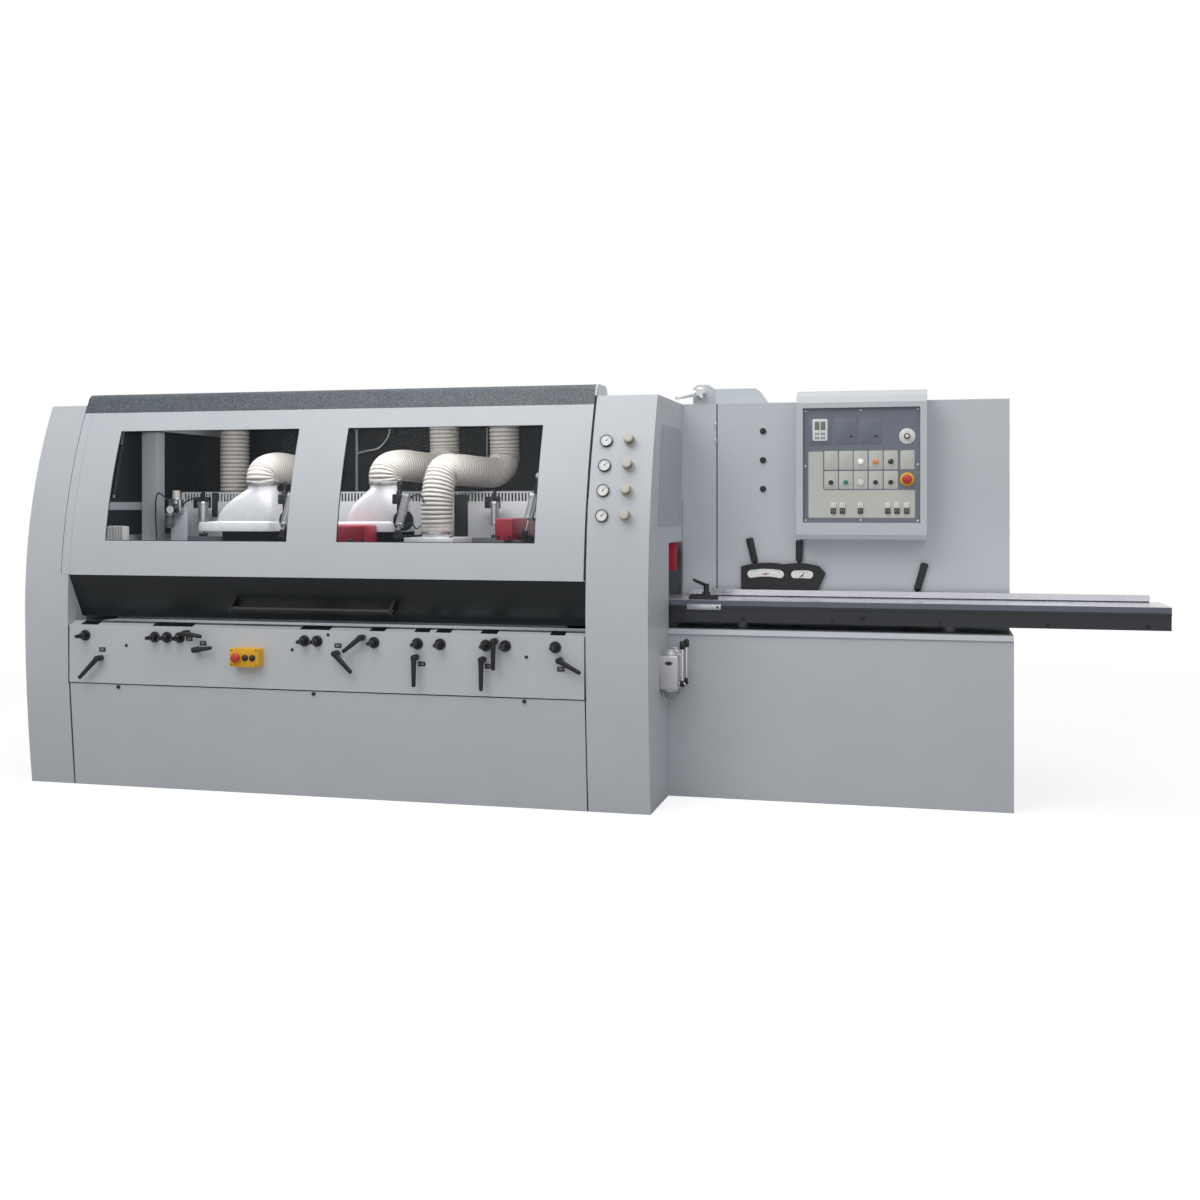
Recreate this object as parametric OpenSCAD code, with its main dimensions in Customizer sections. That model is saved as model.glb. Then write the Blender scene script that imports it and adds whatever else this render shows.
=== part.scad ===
// Four sided moulder: casings and hood, feed bed, spindles, infeed table, controls.
// Millimetres, +Z up, +X along the machine to the infeed end, +Y to the rear.
// The origin is on the floor, under the middle of the whole machine.

/* [Overall] */
// Length of the end casing at the outfeed
casing_len = 220; // [200:5:300]
// Length of the hooded bay
bay_len = 2400; // [2380:10:2600]
// Length of the column at the infeed
column_len = 260; // [240:5:320]
// Length of the cabinets beside the column
cabinet_len = 1435; // [1400:5:1600]
// How far the infeed table overhangs the cabinets
table_overhang = 605; // [300:5:900]
// Depth from the foremost casing skin to the back panel
casing_depth = 1500; // [1460:10:1700]
// Height of the casings
casing_h = 1720; // [1715:5:1800]
// Sheet thickness of casings and cabinets
sheet = 5; // [3:0.5:8]

/* [Front curve] */
// Height at which the front stands foremost
bulge_z = 800; // [780:5:810]
// Radius of the front above that height
upper_r = 2200; // [2000:10:2600]
// Radius of the front below that height
lower_r = 6400; // [5500:50:8000]

/* [Hood] */
// Running gap round the hood
hood_gap = 4; // [3:0.5:6]
// Thickness of the hood skin
hood_wall = 8; // [6:1:12]
// Height of the lower edge of the curved skin
skin_low_z = 947; // [935:1:960]
// Distance of the curved skin's upper edge below the casings' top
skin_drop = 37; // [30:1:50]
// Height of the lower edge of the dark band
band_low_z = 756; // [745:1:770]
// How far the dark band draws back at its lower edge
band_draw = 105; // [90:1:120]
// Rise of the hood's crown above the casings
crown_rise = 52; // [48:1:70]
// Distance of the hinge line behind the foremost skin
hinge_back = 400; // [385:1:410]
// Rounding of the crown
crown_r = 45; // [30:1:50]
// Distance between the two windows
window_gap = 232; // [200:2:300]
// Height of the windows
window_h = 496; // [460:2:510]
// Distance of the windows' upper edge below the casings' top
window_drop = 124; // [115:1:150]
// Distance from the hood's left end to the first window
window_margin = 170; // [150:2:200]
// Distance from the hood's right end to the second window
window_far_margin = 218; // [150:2:240]
// Thickness of the window panes
pane = 5; // [4:0.5:6]
// Length of the grab bar
bar_len = 767; // [600:1:900]
// Diameter of the grab bar
bar_d = 25; // [20:1:30]
// Height of the grab bar
bar_z = 806; // [800:1:815]
// Clear space behind the grab bar
bar_gap = 48; // [42:1:52]

/* [Bed] */
// Height of the working surface
table_z = 850; // [840:1:860]
// Width of the bed and of the infeed table
table_w = 305; // [300:1:320]
// Y of the rear edge of the bed
table_rear_y = 40; // [36:1:44]
// Thickness of the bed
bed_t = 70; // [60:1:80]
// Y of the working face of the fences
fence_y = 6; // [4:1:8]
// Thickness of the fences
fence_t = 27; // [20:1:28]
// Height of the fences above the table
fence_h = 30; // [24:1:40]
// Largest workpiece width
work_w = 160; // [140:5:165]
// Largest workpiece thickness
work_t = 60; // [40:5:65]

/* [Spindles] */
// Diameter of the cutter heads
cutter_d = 124; // [110:1:126]
// Diameter of the spindle shafts
shaft_d = 40; // [36:1:45]
// Radial running clearance of shafts
running = 0.05; // [0.02:0.01:0.1]
// Diameter of the spindle sleeves
sleeve_d = 110; // [96:1:116]
// Diameter of the spindle motors
motor_d = 190; // [170:1:200]
// Diameter of the feed rollers
roller_d = 140; // [120:1:150]
// Width of the feed rollers
roller_w = 60; // [40:1:70]

/* [Extraction] */
// Outer diameter of the extraction hoses
hose_d = 150; // [140:1:155]
// Depth of the hose ribs
rib = 5; // [3:0.5:7]
// Distance from rib to rib
rib_pitch = 26; // [24:1:36]
// Wall of hoses and hoods
hose_wall = 3; // [2:0.5:4]
// Y of the upright hoses
hose_y = 390; // [380:1:400]
// Height of the collars above the roof
collar_h = 90; // [60:1:120]

/* [Infeed] */
// Thickness of the infeed table's top plate
top_plate = 35; // [30:1:40]
// Depth of the infeed table's body below the plate
body_depth = 60; // [50:1:64]
// Height of the low cabinet
low_cabinet_z = 723; // [700:1:730]
// Y of the low cabinet's front
low_cabinet_y = -280; // [-290:1:-270]
// Y of the tall cabinet's front
tall_cabinet_y = 60; // [56:1:64]
// Diameter of the table's guide posts
post_d = 50; // [40:1:60]
// Height of the bottom of the infeed opening
mouth_low_z = 720; // [715:1:725]
// Height of the top of the infeed opening
mouth_high_z = 1095; // [1080:1:1120]

/* [Controls] */
// Width of the control housing
housing_w = 557; // [540:1:600]
// Height of the bottom of the control housing
housing_low_z = 1110; // [1090:1:1130]
// Height of the top of the control housing
housing_high_z = 1767; // [1750:1:1790]
// Distance from the column to the control housing
housing_x = 532; // [500:1:560]
// Depth of the control housing
housing_depth = 150; // [130:1:170]
// Side of the square control plate
plate_side = 500; // [480:1:510]
// Height of the adjuster shafts
adjuster_z = 677; // [674:1:680]
// Reach of the adjuster shafts
adjuster_reach = 73; // [65:1:76]
// Diameter of a clamp lever's hub
hub_d = 26; // [22:1:28]
// Travel of the stop buttons
press_travel = 5; // [3:0.5:6]
// Seat clearance between moving pieces
seat = 0.3; // [0.2:0.05:0.5]

/* [Hidden] */
$fn = 48;
big_fn = 240;

paint = "gainsboro";
dark = "darkslategray";
black = "dimgray";
silver = "silver";

// Main planes
machine_len = casing_len + bay_len + column_len + cabinet_len + table_overhang;
x_left = -machine_len / 2;
x_bay = x_left + casing_len;
x_column = x_bay + bay_len;
x_side = x_column + column_len;
x_cabinet = x_side + cabinet_len;
x_end = x_cabinet + table_overhang;
fascia_back = 4;
button_reach = press_travel + 22;
box_size = [134, 50, 81];
control_reach = box_size[1] + button_reach - fascia_back;
y_tip = -(casing_depth + control_reach) / 2;
y_bulge = y_tip + control_reach;
y_rear = y_bulge + casing_depth;

// Places along the bay and heights above the table follow the bay's length and the casings' height
bay_share = bay_len / 2400;
rise_share = (casing_h - table_z) / 870;
function along(d) = x_bay + d * bay_share;
function up(z) = table_z + (z - table_z) * rise_share;

// Front below the hood
ledge_z = 720;
fascia_low_z = 465;
seam = 5;
y_fascia = y_bulge + fascia_back;
cover_draw = 50;

// Hood
hood_x0 = x_bay + hood_gap;
hood_x1 = x_column - hood_gap;
hinge_y = y_bulge + hinge_back;
hinge_z = casing_h;
roof_z = casing_h - 20;
roof_front_y = hinge_y + 5;
skin_high_z = casing_h - skin_drop;
crown_z = casing_h + crown_rise;
window_high_z = casing_h - window_drop * rise_share;
window_low_z = window_high_z - window_h * rise_share;
window_len = (hood_x1 - hood_x0 - window_margin - window_far_margin - window_gap) / 2;
hinge_at = [along(200), along(870), along(1540), along(2200)];
knuckle_d = 20;
knuckle_len = 40;
pin_d = 10;
window_x = [hood_x0 + window_margin, hood_x1 - window_far_margin - window_len];
pane_lap = 12;
bar_mid_x = (hood_x0 + hood_x1) / 2 - 25;

// Hood struts, one inside each end
strut_x = [x_bay + 90, x_column - 90];
strut_inset = [152.428, 135.668];
strut_foot = [y_bulge + set_back(up(1300), upper_r) + strut_inset[0], up(1300)];
strut_head = [y_bulge + set_back(up(1670), upper_r) + strut_inset[1], up(1670)];
strut_run = norm(strut_head - strut_foot);
strut_tilt = atan2(strut_head[0] - strut_foot[0], strut_head[1] - strut_foot[1]);
strut_tube_len = 250;
strut_d = 22;
rod_d = 10;
rod_foot = 60;

// Bed and spindles
table_front_y = table_rear_y - table_w;
bed_x0 = x_left + 10;
bed_x1 = x_column + 36;
base_z = table_z - bed_t;
base_front_y = table_front_y - 60;
plinth_z = 600;
carrier_y = [90, 230];
motor_y1 = 500;
cutter_len = work_w + 50;
work_front_y = fence_y - work_w;
gap_x = cutter_d / 2 + 14;
bottom_x = along(2290);
right_x = along(1960);
left_x = along(1680);
top_x = [along(1290), along(640)];
bottom_z = table_z - cutter_d / 2;
top_z = table_z + work_t + cutter_d / 2;
right_y = fence_y + cutter_d / 2;
left_y = work_front_y - cutter_d / 2;
spindle_low_z = 560;

// Feed unit
beam_y = [tall_cabinet_y - 18, tall_cabinet_y + 28];
beam_z = [top_z + cutter_d / 2 + 12, top_z + cutter_d / 2 + 70];
roller_x = [along(1820), along(900)];
roller_z = table_z + work_t + 5 + roller_d / 2;
roller_y0 = fence_y - 150;
axle_d = 24;
pillar_x = [along(150), along(960), along(2070)];
pillar_w = 70;

// Extraction: places of the necks, heights and collars
neck_y = -110;
hood_neck = [[along(642), neck_y, up(1358)], [along(1274), neck_y, up(1358)]];
hood_top_z = up(1183);
tray_reach = [300, 95];
tray_h = 48;
hood_reach = [205, 165];
low_hood_z0 = top_z + 38;
low_neck_h = 15 * rise_share;
low_hood = [along(1533), neck_y, low_hood_z0 + 100 * rise_share + low_neck_h];
collar_x = [along(221), along(670), along(1383), along(1699)];
hose_top_z = roof_z - 40;
stub_h = 100;

// Infeed
table_x0 = bed_x1 + 4;
table_low_z = table_z - top_plate - body_depth;
post_x = [x_side + 300, x_cabinet - 255];
post_y = table_front_y + table_w / 2;
guide_x = x_side + 80;
guide_len = 148;
scale_x = [x_side + 271, x_side + 650];
lever_x = [x_side + 392, x_side + 527];
lever_z = table_z - 105;
lever_len = 375;
clamp_x = x_side + 1005;

// Control housing and plate
panel_x0 = x_side + housing_x;
plate_x0 = panel_x0 + (housing_w - plate_side) / 2;
plate_z0 = housing_low_z + 72;
plate_y = tall_cabinet_y - housing_depth + 20;
plate_t = 4;
stop_at = [plate_x0 + 445, plate_z0 + 188];

// Fascia controls: lever hub x and z, angle of the arm from +X upwards, length
lever_at = [
    [along(170), 578, 225, 127], [along(600), 699, -8, 86], [along(650), 628, 8, 85],
    [along(1426), 698, 218, 100], [along(1309), 628, -45, 111], [along(1668), 621, 270, 122],
    [along(1964), 620, 270, 128], [along(2016), 697, 270, 119], [along(2296), 625, -28, 104]
];
adjuster_x = [for (d = [89, 437, 497, 559, 1155, 1214, 1475, 1671, 1772, 1973, 2058, 2272]) along(d)];
box_at = [along(894), 602];
lever_stud_d = 10;
lever_plane = 34;

// Lubricator pumps on the column's side
pump_y = [-470, -372];
pump_size = [75, 70, 143];
pump_z = 483;

// Distance of the curved front behind its foremost line, at height z
function set_back(z, r) = r - sqrt(r * r - pow(z - bulge_z, 2));

// Solid behind the curved front, between two x and two z, drawn in by inset
module bulged(x0, x1, y_back, z0, z1, inset = 0) {
    if (z1 > bulge_z) bulged_half(x0, x1, y_back, max(z0, bulge_z), z1, upper_r, inset);
    if (z0 < bulge_z) bulged_half(x0, x1, y_back, z0, min(z1, bulge_z), lower_r, inset);
}

module bulged_half(x0, x1, y_back, z0, z1, r, inset) {
    intersection() {
        translate([x0, y_bulge - 1, z0]) cube([x1 - x0, y_back - y_bulge + 1, z1 - z0]);
        translate([x0 - 1, y_bulge + r, bulge_z]) rotate([0, 90, 0])
            cylinder(r = r - inset, h = x1 - x0 + 2, $fn = big_fn);
    }
}

// Box between two corners
module block(low, high) { translate(low) cube(high - low); }

// Outline in Y and Z, drawn along X
module along_x(x0, x1) {
    translate([x0, 0, 0]) rotate([90, 0, 90]) linear_extrude(x1 - x0) children();
}

// Cylinder along Y from y0 to y1
module along_y(x, y0, y1, z, d) {
    translate([x, y1, z]) rotate([90, 0, 0]) cylinder(d = d, h = y1 - y0);
}

// Plate with rounded corners in X and Z, from y0 to y1
module rounded_plate(x0, x1, y0, y1, z0, z1, r) {
    translate([0, y1, 0]) rotate([90, 0, 0]) linear_extrude(y1 - y0) rounded(x0, x1, z0, z1, r);
}

module rounded(x0, x1, z0, z1, r) {
    union() {
        translate([x0 + r, z0]) square([x1 - x0 - 2 * r, z1 - z0]);
        translate([x0, z0 + r]) square([x1 - x0, z1 - z0 - 2 * r]);
        for (x = [x0 + r, x1 - r], z = [z0 + r, z1 - r]) translate([x, z]) circle(r);
    }
}

// Base and casings

module base_frame() {
    color(dark) difference() {
        union() {
            block([x_bay + seat, base_front_y, 0], [x_column - seat, table_rear_y + 8, base_z]);
            block([x_bay + seat, table_rear_y + 8, 0], [x_column - seat, y_rear - 60, plinth_z]);
        }
        block([x_bay + 1 + 12, base_front_y + 12, -1], [x_column - 13, table_rear_y - 4, base_z - 12]);
        block([x_bay + 1 + 12, table_rear_y - 5, -1], [x_column - 13, y_rear - 72, plinth_z - 12]);
        block([bottom_x - gap_x, base_front_y - 1, bottom_z - gap_x],
            [bottom_x + gap_x, table_rear_y + 9, base_z + 1]);
        for (p = [[right_x, right_y], [left_x, left_y]])
            translate([p[0], p[1], plinth_z + 20]) cylinder(r = gap_x, h = base_z - plinth_z);
    }
}

// Shell of an end casing, open to the bay and to the floor, with a flange towards the bay
module end_shell(x0, x1, wall_x0, flange_x0) {
    difference() {
        bulged(x0, x1, y_rear, 0, casing_h);
        intersection() {
            block([x0 - 1, y_bulge - 2, -1], [x1 + 1, y_rear - sheet, casing_h - sheet]);
            bulged(wall_x0, wall_x0 + x1 - x0 - 2 * sheet, y_rear, -1, casing_h - sheet, sheet);
        }
        block([flange_x0 - 1, strut_foot[0] + 90, -1], [flange_x0 + sheet + 1, y_rear - 60, casing_h - 90]);
        block([flange_x0 - 1, y_fascia + 60, -1], [flange_x0 + sheet + 1, y_rear - 60, table_z + 260]);
    }
}

module left_end_casing() {
    color(paint) {
        difference() {
            end_shell(x_left, x_bay, x_left + sheet, x_bay - sheet);
            block([x_left - 1, table_front_y - 10, base_z - 20],
                [x_left + sheet + 1, tall_cabinet_y, mouth_high_z]);
        }
        // Upright tube inside, behind the outfeed opening
        block([x_left + 85, tall_cabinet_y + 30, 0],
            [x_left + 165, tall_cabinet_y + 110, casing_h - sheet]);
        // Cross rail from the tube to the end wall
        block([x_left + 1, tall_cabinet_y + 50, up(1235)],
            [x_left + 86, tall_cabinet_y + 90, up(1275)]);
        strut_stud(x_bay, strut_x[0], 1);
    }
}

// Stud on a casing's flange, from x_wall along side, with the pin of a strut's foot
module strut_stud(x_wall, x_eye, side) {
    reach = abs(x_eye - x_wall);
    translate([x_wall, strut_foot[0], strut_foot[1]]) rotate([0, 90 * side, 0]) {
        cylinder(d = 24, h = reach - 6 - seat);
        cylinder(d = 12, h = reach + 6);
    }
}

module right_end_column() {
    color(paint) {
        difference() {
            end_shell(x_column, x_side, x_column + sheet, x_column);
            // Infeed mouth and side window
            block([x_side - sheet - 1, table_front_y - 10, mouth_low_z],
                [x_side + 1, tall_cabinet_y, mouth_high_z]);
            side_window(x_side - sheet - 1, x_side + 1, 0);
        }
        strut_stud(x_column, strut_x[1], -1);
    }
}

// Rounded side window between two x, grown by lap
module side_window(x0, x1, lap) {
    translate([x0, 0, 0]) rotate([90, 0, 90]) linear_extrude(x1 - x0)
        rounded(y_bulge + 285 - lap, y_bulge + 655 + lap, up(1170) - lap, up(1585) + lap, 30);
}

module column_window() {
    color("slategray", 0.5) side_window(x_side - sheet - pane, x_side - sheet, pane_lap);
}

module control_fascia() {
    color(paint) {
        difference() {
            union() {
                block([x_bay + 1, y_fascia, fascia_low_z], [x_column - 1, y_fascia + sheet, ledge_z]);
                block([x_bay + 1, y_fascia, ledge_z - sheet], [x_column - 1, base_front_y, ledge_z]);
            }
            // Read-out slots in the ledge
            for (x = adjuster_x) block([x - 22, y_fascia + 40, ledge_z - 2],
                [x + 22, y_fascia + 62, ledge_z + 1]);
            // Joint lines between the fascia's plates
            for (x = [along(710), along(1370), along(1860)])
                block([x, y_fascia - 1, fascia_low_z - 1], [x + 2, y_fascia + 1.5, ledge_z + 1]);
        }
        // Studs that the clamp levers turn on
        for (l = lever_at) along_y(l[0], y_fascia - lever_plane + 6, y_fascia, l[1], lever_stud_d);
    }
}

module lower_front_cover() {
    z_top = fascia_low_z - seam;
    color(paint) {
        along_x(x_bay + seat, x_column - seat) polygon([
            [y_bulge + 10, z_top], [y_bulge + cover_draw, 0], [y_bulge + cover_draw + sheet, 0],
            [y_bulge + 10 + sheet, z_top - sheet], [y_bulge + 70, z_top - sheet], [y_bulge + 70, z_top]
        ]);
        for (x = [along(252), along(1195), along(2138)])
            along_y(x, y_bulge + 6, y_bulge + 12, z_top - 10, 15);
    }
}

module rear_casing() {
    color(dark) {
        difference() {
            union() {
                block([x_bay, roof_front_y, roof_z - 12], [x_column, y_rear, roof_z]);
                block([x_bay, y_rear - 12, 0], [x_column, y_rear, roof_z - 12]);
                for (x = collar_x) translate([x, hose_y, roof_z - 40])
                    cylinder(d = hose_d, h = collar_h + 40);
            }
            for (x = collar_x) translate([x, hose_y, roof_z - 41])
                cylinder(d = hose_d - 2 * hose_wall, h = collar_h + 42);
            // Service doors in the back
            for (d = [60, 860, 1660]) door_groove(along(d), along(d + 680), 120, casing_h - 136);
        }
        // Hinges of the hood on the roof's edge
        for (x = hinge_at) {
            for (k = [x - 1.5 * knuckle_len, x + 0.5 * knuckle_len]) {
                knuckle(k, knuckle_len, knuckle_d);
                block([k, hinge_y + 3, roof_z - 1], [k + knuckle_len, hinge_y + 30, hinge_z - 4]);
            }
            knuckle(x - 1.5 * knuckle_len, 3 * knuckle_len, pin_d);
        }
    }
}

// Groove round a service door, between two x and two z
module door_groove(x0, x1, z0, z1) {
    groove = 4;
    difference() {
        block([x0, y_rear - 2, z0], [x1, y_rear + 1, z1]);
        block([x0 + groove, y_rear - 3, z0 + groove], [x1 - groove, y_rear + 2, z1 - groove]);
    }
}

// Cylinder on the hood's hinge line
module knuckle(x, len, d) {
    translate([x, hinge_y, hinge_z]) rotate([0, 90, 0]) cylinder(d = d, h = len);
}

module motor_cover() {
    slot_pitch = 22;
    z0 = top_z + 70;
    z1 = up(1328);
    x0 = x_bay + 30;
    x1 = x_column - 30;
    y0 = carrier_y[0] + 100;
    color("white") difference() {
        union() {
            block([x0, y0, z0], [x1, y0 + 4, z1]);
            block([x0, y0, z1 - 4], [x1, hose_y - hose_d / 2 - 8, z1]);
        }
        for (x = [x0 + 20 : slot_pitch : x1 - 30]) block([x, y0 - 1, z1 - 60], [x + 10, y0 + 5, z1 - 14]);
    }
}

module infeed_cabinet() {
    color(paint) {
        difference() {
            block([x_side, low_cabinet_y, 0], [x_cabinet, tall_cabinet_y, low_cabinet_z]);
            block([x_side + sheet, low_cabinet_y + sheet, -1],
                [x_cabinet - sheet, tall_cabinet_y - sheet, low_cabinet_z - sheet]);
            for (x = [x_side + 157, x_side + 900])
                block([x, low_cabinet_y - 1, 30], [x + 3, low_cabinet_y + 2, low_cabinet_z - 30]);
        }
        // Guide posts of the infeed table
        for (x = post_x) translate([x, post_y, low_cabinet_z - sheet])
            cylinder(d = post_d, h = table_z - top_plate - 14 - low_cabinet_z + sheet);
    }
}

module electrical_cabinet() {
    box_x = [x_side + 80, x_side + 350];
    color(paint) {
        difference() {
            block([x_side, tall_cabinet_y, 0], [x_cabinet, y_rear, casing_h]);
            block([x_side + sheet, tall_cabinet_y + sheet, -1],
                [x_cabinet - sheet, y_rear - sheet, casing_h - sheet]);
            // Seams of the front panels and of the rear doors
            for (x = [x_side + 157, x_side + 1190])
                block([x, tall_cabinet_y - 1, table_z], [x + 3, tall_cabinet_y + 2, casing_h - 40]);
            block([x_side + cabinet_len / 2, y_rear - 2, 60],
                [x_side + cabinet_len / 2 + 4, y_rear + 1, casing_h - 60]);
        }
        // Raised cable box on the roof, chamfered at its ends
        translate([0, tall_cabinet_y + 460, 0]) rotate([90, 0, 0]) linear_extrude(190) polygon([
            [box_x[0], casing_h - 1], [box_x[1], casing_h - 1], [box_x[1], casing_h + 20],
            [box_x[1] - 50, casing_h + 90], [box_x[0] + 30, casing_h + 90], [box_x[0], casing_h + 50]
        ]);
        // Blanking plugs in the front
        for (z = [1332, 1462, 1593]) along_y(x_side + 369, tall_cabinet_y - 5, tall_cabinet_y + 1, up(z), 30);
    }
}

// Hood

module hood_shell() {
    deep = y_bulge + hinge_back;
    color(paint) difference() {
        bulged(hood_x0, hood_x1, deep, skin_low_z, skin_high_z);
        bulged(hood_x0 - 1, hood_x1 + 1, deep + 1, skin_low_z - 1, skin_high_z + 1, hood_wall);
        for (x = window_x) block([x, y_bulge - 1, window_low_z], [x + window_len, deep + 1, window_high_z]);
    }
}

module hood_windows() {
    deep = y_bulge + hinge_back;
    outer = hood_wall + seat;
    color("slategray", 0.4) for (x = window_x) {
        x0 = x - pane_lap;
        x1 = x + window_len + pane_lap;
        difference() {
            bulged(x0, x1, deep, window_low_z - pane_lap, window_high_z + pane_lap, outer);
            bulged(x0 - 1, x1 + 1, deep + 1, window_low_z - pane_lap - 1, window_high_z + pane_lap + 1,
                outer + pane);
        }
    }
}

// Front of the dark band at height z
band_top_y = y_bulge + set_back(skin_low_z, upper_r);
function band_y(z) = band_top_y
    + (skin_low_z - z) / (skin_low_z - band_low_z) * (y_bulge + band_draw - band_top_y);

module hood_lower_band() {
    lip = 40;
    color(dark) along_x(hood_x0, hood_x1) polygon([
        [band_top_y, skin_low_z], [band_y(band_low_z), band_low_z], [band_y(band_low_z) + lip, band_low_z],
        [band_y(band_low_z) + lip, band_low_z + hood_wall],
        [band_y(band_low_z) + hood_wall, band_low_z + hood_wall],
        [band_top_y + hood_wall, skin_low_z]
    ]);
}

function arc(c, r, a0, a1, n) = [
    for (i = [0 : n]) c + r * [cos(a0 + (a1 - a0) * i / n), sin(a0 + (a1 - a0) * i / n)]
];

// Outline of the hood's crown, drawn in by inset
function crown(inset) = concat(
    [[y_bulge + set_back(skin_high_z, upper_r) + inset * 1.15, skin_high_z]],
    arc([y_bulge + 205 + crown_r, crown_z - crown_r], crown_r - inset, 155, 90, 8),
    arc([hinge_y - 2 - crown_r, crown_z - crown_r], crown_r - inset, 90, 0, 8),
    [[hinge_y - 2 - inset, hinge_z - 14]]
);

module hood_top_band() {
    outer = crown(0);
    inner = crown(sheet);
    last = len(inner) - 1;
    color(dark) {
        difference() {
            union() {
                along_x(hood_x0, hood_x1) polygon(concat(outer, [for (i = [0 : last]) inner[last - i]]));
                for (x = hinge_at) knuckle(x - knuckle_len / 2 + seat, knuckle_len - 2 * seat, knuckle_d);
            }
            for (x = hinge_at) {
                knuckle(x - knuckle_len, 2 * knuckle_len, pin_d + 2 * running);
                // Room for the roof's knuckles
                for (k = [x - 1.5 * knuckle_len - 1, x + 0.5 * knuckle_len - seat]) {
                    knuckle(k, knuckle_len + 1 + seat, knuckle_d + 2);
                    block([k, hinge_y - 12, hinge_z - 16],
                        [k + knuckle_len + 1 + seat, hinge_y + 1, hinge_z]);
                }
            }
        }
        for (x = [hood_x0, hood_x1 - sheet]) along_x(x, x + sheet) polygon(outer);
        // Brackets beside the strut heads
        for (x = [strut_x[0] + 6.5, strut_x[1] - 12.5])
            block([x, strut_head[0] - 15, strut_head[1] - 15],
                [x + 6, strut_head[0] + 15, crown_z - sheet / 2]);
    }
}

module hood_handle() {
    y = band_y(bar_z) - bar_gap - bar_d / 2;
    x0 = bar_mid_x - bar_len / 2;
    x1 = bar_mid_x + bar_len / 2;
    arm = 14;
    color(dark) {
        translate([x0, y, bar_z]) rotate([0, 90, 0]) cylinder(d = bar_d, h = bar_len);
        for (x = [x0 + 4, x1 - 4 - arm]) along_x(x, x + arm) polygon([
            [band_y(bar_z + 52), bar_z + 52], [band_y(bar_z + 14), bar_z + 14],
            [y + 10, bar_z - 16], [y - 15, bar_z - 12], [y - 15, bar_z + 12]
        ]);
    }
}

// Places children on a strut's line, its foot at the origin
module on_strut(x) {
    translate([x, strut_foot[0], strut_foot[1]]) rotate([-strut_tilt, 0, 0]) children();
}

module strut_tubes() {
    color(black) for (x = strut_x) on_strut(x) difference() {
        union() {
            translate([-6, 0, 0]) rotate([0, 90, 0]) cylinder(d = 26, h = 12);
            cylinder(d = strut_d, h = strut_tube_len);
        }
        translate([-7, 0, 0]) rotate([0, 90, 0]) cylinder(d = 12 + 2 * running, h = 14);
        translate([-13, -13, -13]) cube([7, 26, 26]);
        translate([6, -13, -13]) cube([7, 26, 26]);
        translate([0, 0, rod_foot - 10]) cylinder(d = rod_d + 2 * running, h = strut_tube_len);
    }
}

module strut_rods() {
    color(silver) for (x = strut_x) on_strut(x) difference() {
        union() {
            translate([0, 0, rod_foot]) cylinder(d = rod_d, h = strut_run - rod_foot);
            translate([-6, 0, strut_run]) rotate([0, 90, 0]) cylinder(d = 24, h = 12);
        }
        translate([-7, 0, strut_run]) rotate([0, 90, 0]) cylinder(d = 10, h = 14);
    }
}

// Control housing and panel

module control_housing() {
    y1 = tall_cabinet_y;
    y0 = y1 - housing_depth;
    x1 = panel_x0 + housing_w;
    color(paint) difference() {
        along_x(panel_x0, x1) polygon([
            [y1, housing_low_z], [y1, housing_high_z], [y0 + 45, housing_high_z - 12],
            [y0 + 18, housing_high_z - 34], [y0, housing_high_z - 62],
            [y0, housing_low_z + 20], [y0 + 16, housing_low_z]
        ]);
        // Hollow behind the plate, open to the cabinet
        block([panel_x0 + sheet, plate_y + plate_t + sheet, housing_low_z + sheet],
            [x1 - sheet, y1 + 1, housing_high_z - 70]);
        // Recess that takes the control plate
        block([plate_x0, y0 - 1, plate_z0],
            [plate_x0 + plate_side, plate_y + plate_t, plate_z0 + plate_side]);
        block([plate_x0 + 30, y0 - 1, plate_z0 + 30],
            [plate_x0 + plate_side - 30, plate_y + 40, plate_z0 + plate_side - 30]);
    }
}

module control_plate() {
    color("slategray") difference() {
        block([plate_x0, plate_y, plate_z0],
            [plate_x0 + plate_side, plate_y + plate_t, plate_z0 + plate_side]);
        along_y(stop_at[0], plate_y - 1, plate_y + plate_t + 1, stop_at[1], 22 + 2 * running);
    }
}

// Button places on the plate, from its lower left corner
cell_x = [121, 185, 248, 312, 376];
double_x = [131, 170, 247, 363, 402, 443];

module panel_controls() {
    y = plate_y;
    color(silver) {
        // Lamps and selector above, push buttons below
        for (i = [2 : 4]) along_y(plate_x0 + cell_x[i], y - 14, y, plate_z0 + 265, 28);
        for (x = cell_x) along_y(plate_x0 + x, y - 10, y, plate_z0 + 175, 28);
        // Speed dial with its disc
        along_y(plate_x0 + 444, y - 3, y, plate_z0 + 375, 64);
        along_y(plate_x0 + 444, y - 18, y - 3, plate_z0 + 375, 26);
        // Double push buttons
        for (x = double_x) block([plate_x0 + x - 11, y - 8, plate_z0 + 40],
            [plate_x0 + x + 11, y, plate_z0 + 88]);
        // Timer
        rounded_plate(plate_x0 + 41, plate_x0 + 106, y - 6, y, plate_z0 + 358, plate_z0 + 453, 8);
        // Collar under the stop button
        difference() {
            along_y(stop_at[0], y - 6, y, stop_at[1], 60);
            along_y(stop_at[0], y - 7, y + 1, stop_at[1], 22 + 2 * running);
        }
    }
}

// Mushroom button that is pressed along +Y, its stem from y_stem forwards
module mushroom(x, y, z, stem, d) {
    color("firebrick") {
        along_y(x, y - press_travel - 4, y + stem, z, 22);
        translate([x, y - press_travel - 4, z]) rotate([90, 0, 0]) rotate_extrude()
            polygon([[0, 0], [d / 2 - 2, 0], [d / 2, 4], [d / 2, 9], [d / 2 - 4, 14], [d / 4, 17], [0, 18]]);
    }
}

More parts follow.
